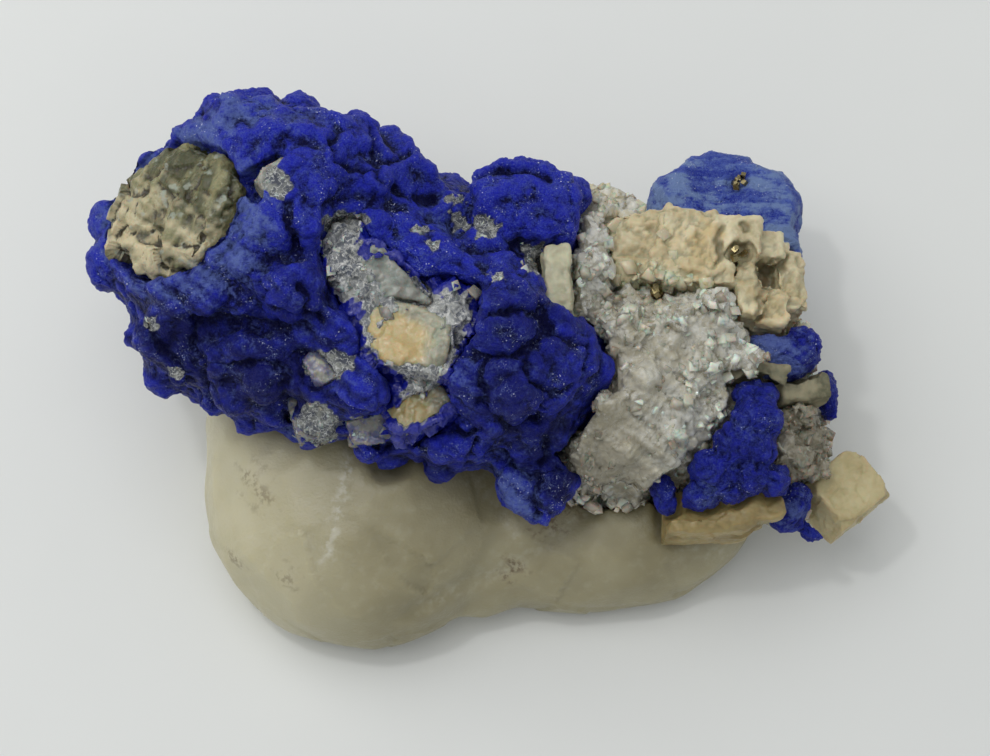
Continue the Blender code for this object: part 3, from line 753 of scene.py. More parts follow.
glass = outlined(mass, (HOLLOW_OUTLINE, EYE_OUTLINE) + GAPS, edge=2.5, wander=1.5)
cap_window = outlined(mass, (CAP_OUTLINE,), edge=5.0, wander=3.0)
paint(mass, "glass", glass)
pushed(mass, np.maximum(GLASS_DENT * glass, CAP_DENT * cap_window), SIGHT)
cap_rim = outlined(mass, (CAP_OUTLINE,), edge=22.0, wander=5.0)
hollow_rim = outlined(mass, (HOLLOW_OUTLINE,), edge=7.0, wander=2.0)
facing = np.clip(1.6 * -(normals_of(mass) @ np.array(SIGHT)) - 0.2, 0, 1)
paint(mass, "rim", facing * np.maximum(np.clip(2 * cap_rim, 0, 1), 1.4 * hollow_rim))
lightened(mass, MOST_TRIANGLES)
note_crests(mass)
print(len(GAPS) + 3, "windows")

# %% Blue mass: pale places, and darker places that are partly deep blue and partly painted shade
PALE_SPOTS = (
    (240, 200, 2.2, 0.9), (252, 225, 2.0, 0.8), (225, 262, 1.8, 0.7), (150, 275, 1.6, 0.6),
    (105, 215, 1.4, 0.6), (262, 105, 2.4, 0.55), (300, 118, 2.0, 0.5),
    (200, 150, 1.5, 0.5), (246, 170, 1.5, 0.6), (140, 284, 1.8, 0.85), (162, 284, 1.8, 0.85),
    (186, 284, 1.9, 0.9), (212, 280, 2.0, 0.95), (236, 266, 2.0, 1.0), (208, 132, 1.9, 0.85),
    (232, 108, 2.2, 0.8), (190, 136, 1.6, 0.9), (512, 490, 2.6, 0.9), (520, 505, 2.0, 0.9),
    (300, 430, 2.0, 0.8), (335, 375, 1.6, 0.5), (402, 392, 1.2, 0.8), (462, 372, 1.4, 0.8),
    (468, 392, 1.2, 0.7), (355, 290, 1.2, 0.5), (490, 470, 1.6, 0.5), (350, 225, 1.2, 0.4),
    (442, 222, 1.8, 0.5),
)
# Darker patches: partly a deeper blue, partly painted shade on lower sides and between knobs.
DEEP_AND_SHADED_SPOTS = (
    (180, 345, 5.5, 0.8), (270, 385, 6.5, 0.8), (310, 300, 3.0, 0.5), (525, 330, 5.5, 0.6),
    (192, 350, 2.0, 0.8), (246, 288, 1.8, 0.6), (506, 432, 1.2, 0.9), (555, 425, 2.4, 0.8),
    (430, 465, 3.5, 0.6), (556, 486, 2.6, 0.85), (540, 456, 2.4, 0.8), (500, 400, 4.5, 0.7),
    (545, 435, 3.0, 0.6),
)
CONTACT_REACH = 1.0                     # millimetres over which the blue fades where it meets calcite
PALE_AT_CONTACT, PALE_AT_RIM, SHADE_IN_SEAMS = 0.7, 0.8, 0.75


def halo(points, reach, *nodes):
    """1 where a point touches those nodes, fading to 0 at reach millimetres."""
    skin = skin_of(*nodes)
    away = [skin.find_nearest(point, reach)[3] for point in map(Vector, points)]
    return np.array([1 - gap / reach if gap is not None else 0.0 for gap in away])


mass_points = points_of(mass)
# The seams and creases are painted darker too, as painted shade.
seams = near_lines(mass_points, mass_skin, SEAMS + CREASES, SEAM_WIDTH)
deep_and_shade = np.maximum(patches(mass_points, mass_skin, DEEP_AND_SHADED_SPOTS), SHADE_IN_SEAMS * seams)
paint(mass, "deep_and_shade", deep_and_shade)
contact = halo(mass_points, CONTACT_REACH, "pocket_calcite", "sugary_calcite", "eye_crystal")
fade = np.maximum(PALE_AT_CONTACT * contact, PALE_AT_RIM * painted_on(mass, "rim"))
pale = np.maximum(patches(mass_points, mass_skin, PALE_SPOTS), fade)
paint(mass, "pale", pale * (1 - 0.8 * deep_and_shade))
mass_in_mm = copy_of(mass, "inlaid")
finished(mass, "blue_mass", "ultramarine_lazurite", "lazurite_mass")

# %% [markdown]
# ## The smaller blue lumps
# The ridge, the bead, the heel, the shoulder and the flake are the same mineral, so they get the same
# crust, only with smaller knobs, because they are small themselves.

# %% Small blue lumps
SMALL_LUMPS = {
    "ridge": ((745, 430, 1.0, 0.4), (708, 500, 1.6, 0.5)),
    "bead": ((665, 492, 0.8, 0.3),),
    "heel": ((795, 510, 1.4, 0.7),),
    "shoulder": ((764, 350, 2.4, 1.0), (790, 368, 1.6, 0.8)),
    "flake": (),
}
for lump_name, pale_spots in SMALL_LUMPS.items():
    node = "lazurite_" + lump_name
    lump = fine_skin(solid_of(node), voxel=0.16, grow=0.16, rounds=3)
    run_tree(lump, crust, ultramarine, knob=1.8, knob_height=0.24, bud=0.75, bud_height=0.11)
    note_crests(lump)
    paint_patches(lump, node, pale=pale_spots)
    # The whole lump is painted a little darker, towards the crease tone.
    paint(lump, "deep_and_shade", 0.3)
    finished(lump, "blue_" + lump_name, "ultramarine_lazurite", node)

# %% [markdown]
# ## Fibres and bands
# Noise that is stretched along one bearing makes long ridges: the fibres of the rock inside the barrel,
# or the bands along a tabular crystal.

# %% Geometry Nodes: fibres
def fibre_tree():
    tree, given, place = new_tree("Fibrous ridges", across=0.9, along=4.0, bearing=1.1, height=0.8, waver=0.6)
    turned = add(tree, "ShaderNodeVectorRotate", {"Vector": place, "Angle": given["bearing"] * -1.0},
                 rotation_type="Z_AXIS")
    parts = add(tree, "ShaderNodeSeparateXYZ", {0: turned})
    stretched = add(tree, "ShaderNodeCombineXYZ", {
        0: parts / given["along"], 1: parts.other(1) / given["across"], 2: parts.other(2) / given["along"]})
    ridges = (cloud(stretched, 1.0, 3.0, 0.6) - 0.5) * given["height"]
    return close_relief(tree, given["skin"], ridges + (cloud(place, 2.5, 2.0, 0.5) - 0.5) * given["waver"])


fibres = fibre_tree()

# %% [markdown]
# ## The pale tablet
# The tabular crystal at the back is the same mineral, weathered to denim and banded along its length.
# Bands could be painted only, but low ridges catch the light from every side. Two steps are raised at its
# back edge.

# %% Pale tablet
STEPS = (((640, 150), (694, 150), (694, 215), (640, 215)), ((742, 150), (815, 150), (815, 220), (742, 220)))
STEP_RISE = 0.9
TABLET_PALE = ((672, 200, 2.6, 0.9), (700, 190, 2.0, 0.5), (780, 235, 2.4, 0.9), (770, 200, 2.0, 0.5))
tablet = fine_skin(solid_of("lazurite_tablet"), voxel=0.2, grow=0.16, rounds=4)
run_tree(tablet, fibres, denim, across=0.9, along=5.0, bearing=0.05, height=0.6, waver=0.2)
run_tree(tablet, crust, denim, knob=3.4, knob_height=0.2, bud=0.9, bud_height=0.1, grain=0.4,
         grain_height=0.05)
pushed(tablet, STEP_RISE * outlined(tablet, STEPS, edge=9.0, wander=0.0), UPWARD)
note_crests(tablet)
paint_patches(tablet, "lazurite_tablet", pale=TABLET_PALE)
finished(tablet, "pale_tablet", "denim_lazurite", "lazurite_tablet")

# %% [markdown]
# ## Grainy skins: facets instead of domes
# Sugary calcite breaks into little flat faces that all tilt their own way. Plain noise would give hills.
# Here every Voronoi cell gets its own height and its own slope, which gives flat facets with sharp steps
# between them.

# %% Geometry Nodes: facets
def facet_tree():
    tree, given, place = new_tree("Cleaved facets", facet=1.6, step=0.35, tilt=0.5, small_facet=0.7,
                                  small_step=0.12)
    height = 0.0
    for kind, step in (("facet", "step"), ("small_facet", "small_step")):
        cell = add(tree, "ShaderNodeTexVoronoi", {"Vector": place, "Scale": 1.0 / given[kind]},
                   output="Color")
        chance = cell.vector("SUBTRACT", (0.5, 0.5, 0.5))
        height = height + add(tree, "ShaderNodeSeparateXYZ", {0: chance}) * (given[step] * 2.0)
        if kind == "facet":
            away = place.vector("SUBTRACT", cell.other("Position"))
            height = height + away.vector("DOT_PRODUCT", chance).other("Value") * given["tilt"]
    return close_relief(tree, given["skin"], height)


facets = facet_tree()

# %% [markdown]
# ## Loose grains
# Small clear rhombs stick out of the sugary skin everywhere. Five chips are cut once, each a cleavage
# rhomb with its corners knocked off, and Geometry Nodes strews them over a skin with a seed, turned at
# random. Each chip also gets its own shade, so that some are clear and some frosted.

# %% Five chips
def chip(seed):
    """A small cleavage rhomb about one unit wide, as an object."""
    dice = random.Random(seed)
    mesh = bmesh.new()
    for x in (-1, 1):
        for y in (-1, 1):
            for z in (-1, 1):
                corner = Vector((x * dice.uniform(0.7, 1.0), y * dice.uniform(0.7, 1.0),
                                 z * dice.uniform(0.6, 1.0)))
                corner.x += 0.3 * corner.z
                corner.y += 0.22 * corner.x
                mesh.verts.new(corner * 0.5)
                mesh.verts.new((corner + Vector((0, 0, -0.3 * z))) * 0.47)
    bmesh.ops.convex_hull(mesh, input=mesh.verts[:])
    bmesh.ops.delete(mesh, geom=[point for point in mesh.verts if not point.link_faces], context="VERTS")
    bmesh.ops.recalc_face_normals(mesh, faces=mesh.faces[:])
    return as_object(mesh, "chip")


chips = bpy.data.collections.new("chips")
for seed in range(5):
    one = chip(seed)
    scene.collection.objects.unlink(one)
    chips.objects.link(one)


# %% [markdown]
# The tree sets points on a skin, no closer than a gap, where the number painted as "chips" is high. It
# sinks them a little and puts a chip on each. Chips could be placed by hand, but then a change of mind
# would cost hundreds of moves, and here it costs one number.

# %% Geometry Nodes: strewn chips
def chip_tree():
    tree, given, _ = new_tree("Strewn chips", gap=0.8, smallest=0.5, largest=1.3, sink=0.35, seed=1.0)
    seed = add(tree, "FunctionNodeFloatToInt", {0: given["seed"]})
    share = add(tree, "GeometryNodeInputNamedAttribute", {"Name": "chips"}, data_type="FLOAT")
    spread = add(tree, "GeometryNodeDistributePointsOnFaces",
                 {"Mesh": given["skin"], "Distance Min": given["gap"], "Density Max": 6.0,
                  "Density Factor": share, "Seed": seed}, distribute_method="POISSON")
    lot = add(tree, "GeometryNodeCollectionInfo", {"Collection": chips, "Separate Children": True,
                                                   "Reset Children": True})
    turn = add(tree, "FunctionNodeRandomValue", {0: (0, 0, 0), 1: (6.28, 6.28, 6.28), "Seed": seed},
               data_type="FLOAT_VECTOR")
    scale = add(tree, "FunctionNodeRandomValue", {2: given["smallest"], 3: given["largest"], "Seed": seed},
                output=1, data_type="FLOAT")
    sunk = spread.other("Normal").vector("SCALE", scale * (given["sink"] * -1.0))
    bedded = add(tree, "GeometryNodeSetPosition", {"Geometry": spread, "Offset": sunk})
    placed = add(tree, "GeometryNodeInstanceOnPoints",
                 {"Points": bedded, "Instance": lot, "Pick Instance": True, "Rotation": turn, "Scale": scale})
    shade = add(tree, "FunctionNodeRandomValue", {2: 0.0, 3: 1.0, "Seed": seed + 7}, output=1,
                data_type="FLOAT")
    kept = add(tree, "GeometryNodeStoreNamedAttribute", {"Geometry": placed, "Name": "shade", "Value": shade},
               data_type="FLOAT", domain="INSTANCE")
    return close_tree(tree, kept)


strew = chip_tree()


def chips_on(skin_object, finish, share, **sizes):
    """A new object of chips strewn over skin_object where share is high."""
    strewn = copy_of(skin_object, "strewn")
    paint(strewn, "chips", share)
    return run_tree(strewn, strew, finish, **sizes)


# %% [markdown]
# ## Calcite finishes
# Calcite glows: light goes in, scatters and comes out again a few millimetres away. Massive calcite is
# waxy and a little yellow, sugary calcite is whiter, and a loose grain is nearly clear. A heap of fully
# clear grains would render almost black, because light gets lost in it, so each grain lets only a part
# straight through and scatters the rest.

# %% Finish of massive calcite
def waxy_finish():
    look = Finish("waxy calcite", Roughness=0.38, IOR=1.55, Subsurface_Weight=0.55, Subsurface_Scale=0.0035,
                  Subsurface_Radius=(1.0, 0.85, 0.55))
    place = look.place
    broad = cloud(place, 9.0)
    fine = cloud(place, 1.1, 5.0)
    # Painted shade: the tone darkens towards the block's right side, blending a lit tone into a shaded one.
    shade_to_the_right = ramp(add(look.tree, "ShaderNodeSeparateXYZ", {0: place}) + broad * 10.0, -16.0, 0.0)
    patchy = ramp(broad, 0.35, 0.7)
    light = blend(patchy, (0.49, 0.45, 0.29), (0.57, 0.53, 0.37))
    dark = blend(patchy, (0.26, 0.23, 0.13), (0.36, 0.325, 0.20))
    tone = blend(shade_to_the_right, light, dark)
    tone = blend(ramp(fine, 0.5, 0.75, 0.0, 0.12), tone, (0.58, 0.56, 0.45))
    torn = look.painted("veil") * ramp(cloud(place, 0.8, 5.0), 0.4, 0.6)
    tone = blend(torn, tone, (0.72, 0.72, 0.66))
    dirt = look.painted("dirt") * ramp(cloud(place, 0.5, 5.0), 0.42, 0.6)
    look.set(Base_Color=blend(dirt, tone, (0.13, 0.085, 0.04)), Roughness=ramp(fine, 0.3, 0.7, 0.3, 0.5))
    look.bump(fine + cloud(place, 0.3), depth=0.12, strength=0.5)
    return look.material


waxy = waxy_finish()
print("finish:", waxy.name)


# %% Finish of sugary calcite
def sugary_finish(name, low, high, dark, bright, size):
    """Interlocked grains, each with its own tone and gloss and a pale line round it that is partly a painted
    highlight, crossed by thin lines painted as glints.
    """
    look = Finish(name, Roughness=0.3, IOR=1.6, Subsurface_Weight=0.4, Subsurface_Scale=0.0018,
                  Transmission_Weight=0.22, Subsurface_Radius=(1.0, 0.95, 0.8))
    tree, place = look.tree, look.place
    stir = add(tree, "ShaderNodeTexNoise", {"Vector": place, "Scale": 0.9, "Detail": 2.0}, output="Color")
    where = place.vector("ADD", stir.vector("SCALE", 1.6))
    grain = add(tree, "ShaderNodeTexVoronoi", {"Vector": where, "Scale": 1 / size})
    chance = add(tree, "ShaderNodeSeparateColor", {"Color": grain.other("Color")})
    rim = add(tree, "ShaderNodeTexVoronoi", {"Vector": where, "Scale": 1 / size}, output="Distance",
              feature="DISTANCE_TO_EDGE")
    fine = cloud(place, 0.35, 5.0)
    calm = 1.0 - look.painted("icy")
    tone = blend(ramp(cloud(place, 3.0), 0.35, 0.7), low, high)
    tone = blend(look.painted("cream"), tone, (0.84, 0.74, 0.50))
    tone = blend(calm * ramp(chance, 0.55, 0.0, 0.0, 0.75), tone, dark)
    tone = blend(calm * ramp(chance, 0.6, 1.0, 0.0, 0.7), tone, bright)
    # A pale line round each grain: pale grain edges, partly a painted highlight.
    tone = blend(calm * ramp(rim, 0.09, 0.02) * ramp(fine, 0.4, 0.6), tone, (0.78, 0.78, 0.74))
    tone = blend(calm * ramp(cloud(where, 1.3, 4.0), 0.52, 0.68, 0.0, 0.6), tone, dark)
    # Thin bright lines: painted glints.
    tone = blend(ramp(veins(place, 0.8), 0.035, 0.005, 0.0, 0.6), tone, (0.86, 0.86, 0.82))
    tone = blend(look.painted("frost"), tone, (0.72, 0.72, 0.66))
    tone = blend(look.painted("grey") * 0.85, tone, (0.24, 0.21, 0.135))
    crusted = ramp(ragged(look.painted("crusted"), fine, 0.8), 0.35, 0.65)
    look.set(Base_Color=blend(crusted, tone, (0.012, 0.019, 0.33)),
             Roughness=ramp(chance.other(1), 0.0, 1.0, 0.08, 0.45))
    look.bump((chance.other(2) + grain) * calm + fine * 0.6, depth=0.3, strength=0.8)
    return look.material


sugary = sugary_finish("sugary calcite", (0.62, 0.57, 0.42), (0.88, 0.83, 0.67), (0.25, 0.225, 0.155),
                       (0.92, 0.90, 0.81), 1.2)
hollow_skin = sugary_finish("hollow calcite", (0.21, 0.225, 0.24), (0.40, 0.41, 0.39), (0.08, 0.095, 0.135),
                            (0.60, 0.61, 0.58), 1.1)
print("finishes:", sugary.name, "and", hollow_skin.name)


# %% Finish of loose grains
def clear_finish(name, dull, bright, clearness):
    """Glassy grains: each has its own shade, the dull ones clear and the bright ones frosted."""
    look = Finish(name, IOR=1.6, Subsurface_Weight=0.5, Subsurface_Scale=0.0012)
    shade, fine = look.painted("shade"), cloud(look.place, 0.4)
    tone = blend(shade, dull, bright)
    tone = blend(ramp(cloud(look.place, 2.2), 0.4, 0.65, 0.0, 0.5), tone, (0.62, 0.57, 0.42))
    tone = blend(look.painted("cream"), tone, (0.66, 0.59, 0.41))
    tone = blend(look.painted("grey") * 0.85, tone, (0.20, 0.175, 0.115))
    look.set(Base_Color=tone, Transmission_Weight=ramp(shade, 0.15, 0.7, clearness, 0.0),
             Roughness=ramp(fine, 0.35, 0.7, 0.056, 0.28))
    look.bump(fine, depth=0.03, strength=0.5)
    return look.material


clear = clear_finish("clear calcite", (0.36, 0.335, 0.26), (0.92, 0.90, 0.80), 0.28)
hollow_clear = clear_finish("hollow glass", (0.20, 0.21, 0.21), (0.60, 0.61, 0.57), 0.4)
print("finishes:", clear.name, "and", hollow_clear.name)


# %% Finishes of single crystals
def glassy_finish(name, cool, warm, roughness=0.22, blue_share=0.0):
    """A translucent crystal, cool in tone, warm where it is painted "warm", with some blue dust on it."""
    look = Finish(name, Roughness=roughness, IOR=1.55, Subsurface_Weight=0.6, Subsurface_Scale=0.0015)
    place, fine = look.place, cloud(look.place, 0.5, 5.0)
    tone = blend(ramp(cloud(place, 1.3, 4.0), 0.36, 0.62), tuple(0.6 * part for part in cool), cool)
    tone = blend(ramp(ragged(look.painted("warm"), fine, 0.2), 0.2, 0.8), tone, warm)
    tone = blend(ramp(cloud(place, 1.1, 5.0, 0.7), 0.46, 0.56, 0.0, blue_share), tone, (0.03, 0.04, 0.26))
    look.set(Base_Color=tone, Roughness=ramp(fine, 0.3, 0.7, roughness * 0.5, roughness * 1.6))
    look.bump(fine, depth=0.1, strength=0.6)
    return look.material


def grainy_finish(name, low, high, roughness, light_scatter=0.25):
    """An opaque-looking stone with a fine grain between two tones."""
    look = Finish(name, Roughness=roughness, IOR=1.5, Subsurface_Weight=light_scatter,
                  Subsurface_Scale=0.0012)
    fine = cloud(look.place, 0.5, 5.0)
    tone = blend(ramp(cloud(look.place, 2.5), 0.35, 0.68), low, high)
    tone = blend(ramp(fine, 0.35, 0.75, 0.0, 0.5), tone, high)
    tone = blend(look.painted("tint"), tone, (0.55, 0.42, 0.20))
    # Painted shade where the skin is painted so: cavities and crevices.
    tone = blend(look.painted("shaded_hole"), tone, (0.15, 0.12, 0.065))
    look.set(Base_Color=tone, Roughness=ramp(fine, 0.3, 0.7, roughness - 0.1, roughness + 0.12))
    look.bump(fine, depth=0.14, strength=0.6)
    return look.material


smoky = glassy_finish("smoky glass", (0.26, 0.26, 0.23), (0.40, 0.37, 0.26), blue_share=0.5)
sea_glass = glassy_finish("grey-green glass", (0.27, 0.285, 0.25), (0.40, 0.37, 0.26))
honey = glassy_finish("honey calcite", (0.36, 0.355, 0.26), (0.50, 0.385, 0.18), roughness=0.3)
amber = glassy_finish("amber calcite", (0.20, 0.20, 0.15), (0.34, 0.28, 0.13), roughness=0.3)
spur_finish = grainy_finish("spur calcite", (0.42, 0.345, 0.17), (0.54, 0.465, 0.26), 0.4)
cream = grainy_finish("cream calcite", (0.44, 0.38, 0.225), (0.72, 0.65, 0.44), 0.45)
straw = grainy_finish("straw calcite", (0.36, 0.345, 0.235), (0.55, 0.53, 0.37), 0.4)
tan = grainy_finish("tan crystal", (0.24, 0.18, 0.07), (0.38, 0.295, 0.12), 0.42)
olive = grainy_finish("olive rock", (0.10, 0.10, 0.055), (0.30, 0.27, 0.17), 0.6, light_scatter=0.1)
print("finishes so far:", len(bpy.data.materials))

# %% [markdown]
# ## The waxy block
# It is broken, not grown: smooth hollows, one long crease where two lobes meet, a healed white crack and
# a little brown dirt in the pits. Cutting it with other solids would leave sharp scars, so a coarse
# remesh and many rounds of smoothing wear its edges down instead. Nothing is left below the table.

# %% Waxy block
LOBE_CREASE = (((412, 612), (440, 596), (470, 580), (508, 570), (545, 545), (575, 522), (602, 500)),)
HEALED_CRACK = ((346, 450), (352, 453), (350, 478), (343, 505), (338, 528), (330, 558), (322, 562),
                (328, 536), (334, 512), (338, 486), (344, 468))
FRACTURES = (
    ((424, 604), (470, 578), (520, 556), (566, 520), (604, 492), (608, 497), (570, 527), (524, 563),
     (473, 585), (428, 609)),
    ((470, 470), (502, 500), (520, 540), (514, 542), (496, 505), (466, 474)),
    ((640, 520), (690, 548), (740, 552), (738, 557), (688, 554), (636, 526)),
)
DIRT_SPOTS = ((250, 478, 1.0, 0.5), (262, 495, 1.0, 0.45), (234, 561, 0.8, 0.5), (288, 577, 0.8, 0.4),
              (512, 570, 0.8, 0.9), (548, 522, 1.1, 0.9), (565, 508, 0.9, 0.8))
CRACK_WHITE, FRACTURE_WHITE = 0.45, 0.16
block = fine_skin(solid_of("calcite_block"), voxel=0.4, grow=0.1, rounds=12)
pressed_creases(block, skin_of("calcite_block"), LOBE_CREASE, width=1.2, depth=0.5)
run_tree(block, facets, waxy, facet=9.0, step=0.0, tilt=0.05, small_facet=4.0, small_step=0.015)
block_points = points_of(block)
block_points[:, 2] = np.maximum(block_points[:, 2], 0.0)
move_points(block, block_points)
crack = CRACK_WHITE * outlined(block, (HEALED_CRACK,), edge=5.0, wander=2.0)
fractures = FRACTURE_WHITE * outlined(block, FRACTURES, edge=7.0, wander=3.0)
paint(block, "veil", np.maximum(crack, fractures))
paint_patches(block, "calcite_block", dirt=DIRT_SPOTS)
finished(block, "waxy_block", "waxy_calcite", "calcite_block")

# %% [markdown]
# ## Sugary calcite
# A faceted skin with clear chips strewn on it, and none where it is smooth and icy: there the facets are
# flattened again to a quarter. Its lower edge is settled onto the block, and painted patches make it
# cream, grey or frosted.

# %% Sugary calcite
CONTACT = (((555, 486), (662, 486), (660, 525), (555, 522)),)
SETTLED, FLATTENED, SUGAR_SHARE = 1.3, 0.75, 0.6
CREAM_SPOTS = ((590, 190, 3.4, 0.9), (615, 215, 2.4, 0.8), (640, 300, 2.2, 0.3))
GREY_SPOTS = ((805, 420, 3.8, 1.0), (800, 470, 4.2, 1.0), (822, 445, 3.2, 1.0), (588, 455, 3.0, 0.7),
              (608, 345, 3.0, 0.5), (614, 468, 4.0, 0.85), (606, 418, 3.0, 0.65), (715, 355, 1.2, 0.4),
              (612, 318, 1.6, 0.3), (645, 345, 1.6, 0.35), (645, 485, 2.6, 0.4))
FROST_SPOTS = ((652, 372, 1.2, 0.6), (690, 415, 2.2, 0.7), (680, 448, 2.2, 0.7), (655, 425, 1.4, 0.6),
               (722, 335, 2.0, 0.6), (690, 340, 1.8, 0.4), (600, 268, 2.6, 0.5), (618, 300, 2.0, 0.4))
SMOOTH_SPOTS = ((650, 372, 3.4, 1.0), (624, 462, 3.4, 1.0), (612, 420, 2.6, 0.9), (640, 492, 2.2, 0.9),
                (680, 350, 1.8, 0.7))
sugar = fine_skin(solid_of("sugary_calcite"), voxel=0.25, grow=0.16, rounds=4)
before_facets = points_of(sugar)
run_tree(sugar, facets, sugary, facet=1.5, step=0.28, tilt=1.0, small_facet=0.7, small_step=0.12)
settled = SETTLED * outlined(sugar, CONTACT, edge=12.0, wander=0.0)
pushed(sugar, settled, SIGHT)
before_facets += np.outer(settled, np.array(SIGHT))
paint_patches(sugar, "sugary_calcite", cream=CREAM_SPOTS, grey=GREY_SPOTS, frost=FROST_SPOTS)
sugar_points = points_of(sugar)
smooth = patches(sugar_points, skin_of("sugary_calcite"), SMOOTH_SPOTS)
paint(sugar, "icy", smooth)
move_points(sugar, sugar_points + (before_facets - sugar_points) * (FLATTENED * smooth)[:, None])
sugar_grains = chips_on(sugar, clear, SUGAR_SHARE * (1 - smooth), gap=0.62, smallest=0.35, largest=1.15,
                        sink=0.42, seed=3.0)
finished(sugar, "sugary_mass", "sugary_calcite", "sugary_calcite")
finished(sugar_grains, "sugar_grains", "sugary_calcite")

# %% [markdown]
# ## The glassy hollow
# Calcite fills the hollow up to the brim. Its skin is made round the crystals in it as well, so that they
# are bedded and not propped in a pit, and it sinks away where their faces are bare. Under the blue it is
# painted "crusted". Chips are strewn where it shows, and in the small gaps of the blue mass too.

# %% Glassy hollow
CRYSTAL_OUTLINES = (
    ((378, 336), (399, 307), (432, 314), (457, 350), (451, 364), (379, 361)),
    ((370, 264), (384, 255), (404, 268), (432, 292), (430, 308), (404, 308), (384, 290)),
    ((394, 412), (404, 402), (426, 391), (442, 387), (446, 400), (431, 416), (405, 425)),
)
HOLLOW_SUNK, CLEARED = 0.4, 1.1         # millimetres
HOLLOW_SHARE, INLAID_SHARE = 0.4, 0.35
hollow = solid_of("pocket_calcite", "window_crystal", "glass_crystal", "pod_crystal",
                  moved=SIGHT * HOLLOW_SUNK)
hollow = fine_skin(hollow, voxel=0.2, grow=1.0, rounds=9)
run_tree(hollow, facets, hollow_skin, facet=1.6, step=0.25, tilt=0.9, small_facet=0.7, small_step=0.1)
clearing = outlined(hollow, CRYSTAL_OUTLINES, edge=2.5, wander=1.0)
pushed(hollow, CLEARED * clearing, SIGHT)
within = outlined(hollow, (HOLLOW_OUTLINE,), edge=5.0, wander=2.5)
paint(hollow, "crusted", 1 - within)
hollow_grains = chips_on(hollow, hollow_clear, HOLLOW_SHARE * within ** 3 * (1 - clearing), gap=0.8,
                         smallest=0.4, largest=1.2, sink=0.48, seed=5.0)
inlaid_grains = chips_on(mass_in_mm, hollow_clear, painted_on(mass_in_mm, "glass") * INLAID_SHARE, gap=0.45,
                         smallest=0.3, largest=0.8, sink=0.42, seed=8.0)
bpy.data.objects.remove(mass_in_mm)
finished(hollow, "hollow_calcite", "sugary_calcite", "pocket_calcite")
finished(hollow_grains, "hollow_grains", "sugary_calcite")
finished(inlaid_grains, "inlaid_grains", "sugary_calcite")

# %% [markdown]
# ## Cream crystals
# Blocky crystals that have begun to crumble. The crust tree makes the crumbling, but only a share of its
# push is kept on each part: most on the slab and the loose corner, little on the flat faces between. Six
# cavities are pressed in and painted dark as shade, the crevices get a lighter painted shade, and chips lie
# along the slab's lower edge.

# %% Cream crystals: named places
SLAB_OUTLINE = ((600, 200), (722, 195), (722, 250), (716, 300), (600, 300))
CRUMBLING = ((752, 262), (806, 250), (808, 325), (752, 325))
CAVITIES = (
    ((755, 264), (770, 260), (775, 284), (768, 296), (758, 292)),
    ((715, 228), (722, 226), (724, 262), (716, 264)), ((777, 258), (786, 256), (787, 270), (779, 272)),
    ((741, 224), (748, 222), (749, 231), (742, 232)), ((730, 244), (748, 242), (748, 256), (732, 258)),
    ((756, 298), (762, 296), (764, 318), (757, 320)),
)
TINTED = ((700, 262, 1.8, 0.6), (665, 245, 2.2, 0.35), (705, 235, 1.2, 0.8), (640, 225, 1.6, 0.3),
          (770, 308, 2.0, 0.5))
CAVITY_DEPTH = 0.6                      # millimetres
CALM_SHARE, SLAB_SHARE, CRUMBLING_SHARE = 0.3, 0.62, 0.6
SLAB_FOOT, FOOT_SPREAD = 262, 12        # picture points
print(len(CAVITIES), "cavities and", len(TINTED), "tinted places")

# %% Cream crystals: shape
creams = fine_skin(solid_of("cream_crystals"), voxel=0.19, grow=0.12, rounds=2)
slab = outlined(creams, (SLAB_OUTLINE,), edge=5.0, wander=1.0)
calm_places = points_of(creams)
run_tree(creams, crust, cream, knob=2.4, knob_height=0.9, bud=1.0, bud_height=0.5, grain=0.45,
         grain_height=0.15)
crumbling = outlined(creams, (CRUMBLING,), edge=5.0, wander=1.0)
share = np.maximum(CALM_SHARE, np.maximum(SLAB_SHARE * slab, CRUMBLING_SHARE * crumbling))[:, None]
move_points(creams, calm_places + (points_of(creams) - calm_places) * share)
# The cavities are pressed in and painted dark: painted shade.
shaded_hole = outlined(creams, CAVITIES, edge=2.0, wander=1.5)
pushed(creams, CAVITY_DEPTH * shaded_hole, SIGHT)
note_crests(creams)
# Painted shade in the crevices, lighter than in the cavities.
crevice_shade = np.clip(1.5 - 3.5 * painted_on(creams, "crest"), 0, 0.35)
paint(creams, "shaded_hole", np.maximum(0.7 * shaded_hole, crevice_shade))
paint_patches(creams, "cream_crystals", tint=TINTED)
low_edge = np.clip((on_picture(points_of(creams))[1] - SLAB_FOOT) / FOOT_SPREAD, 0, 1)
cream_grains = chips_on(creams, clear, slab * (0.05 + 0.8 * low_edge), gap=0.75, smallest=0.5, largest=1.5,
                        sink=0.38, seed=6.0)
paint(cream_grains, "cream", 1.0)
paint(cream_grains, "grey", 0.0)
finished(creams, "cream_blocks", "cream_calcite", "cream_crystals")
finished(cream_grains, "cream_grains", "cream_calcite")

# %% [markdown]
# ## The rock in the broken end
# The barrel is a crust round an olive, fibrous rock, and its end is broken off. Long fibres give the rock
# its grain and facets its broken steps. Noise without a bearing would look like soil, so the colour
# streaks run along the same bearing as the fibres, tan where the break is fresh. The creases are painted
# nearly black as shade.

# %% Cap rock
FIBRE_BEARING = 1.15
CAP_SUNK = 0.45
TAN_SPOTS = ((125, 235, 2.6, 1.0), (150, 258, 2.4, 1.0), (195, 255, 2.2, 0.9), (132, 208, 1.6, 0.7),
             (160, 200, 1.2, 0.5), (210, 240, 1.2, 0.3))


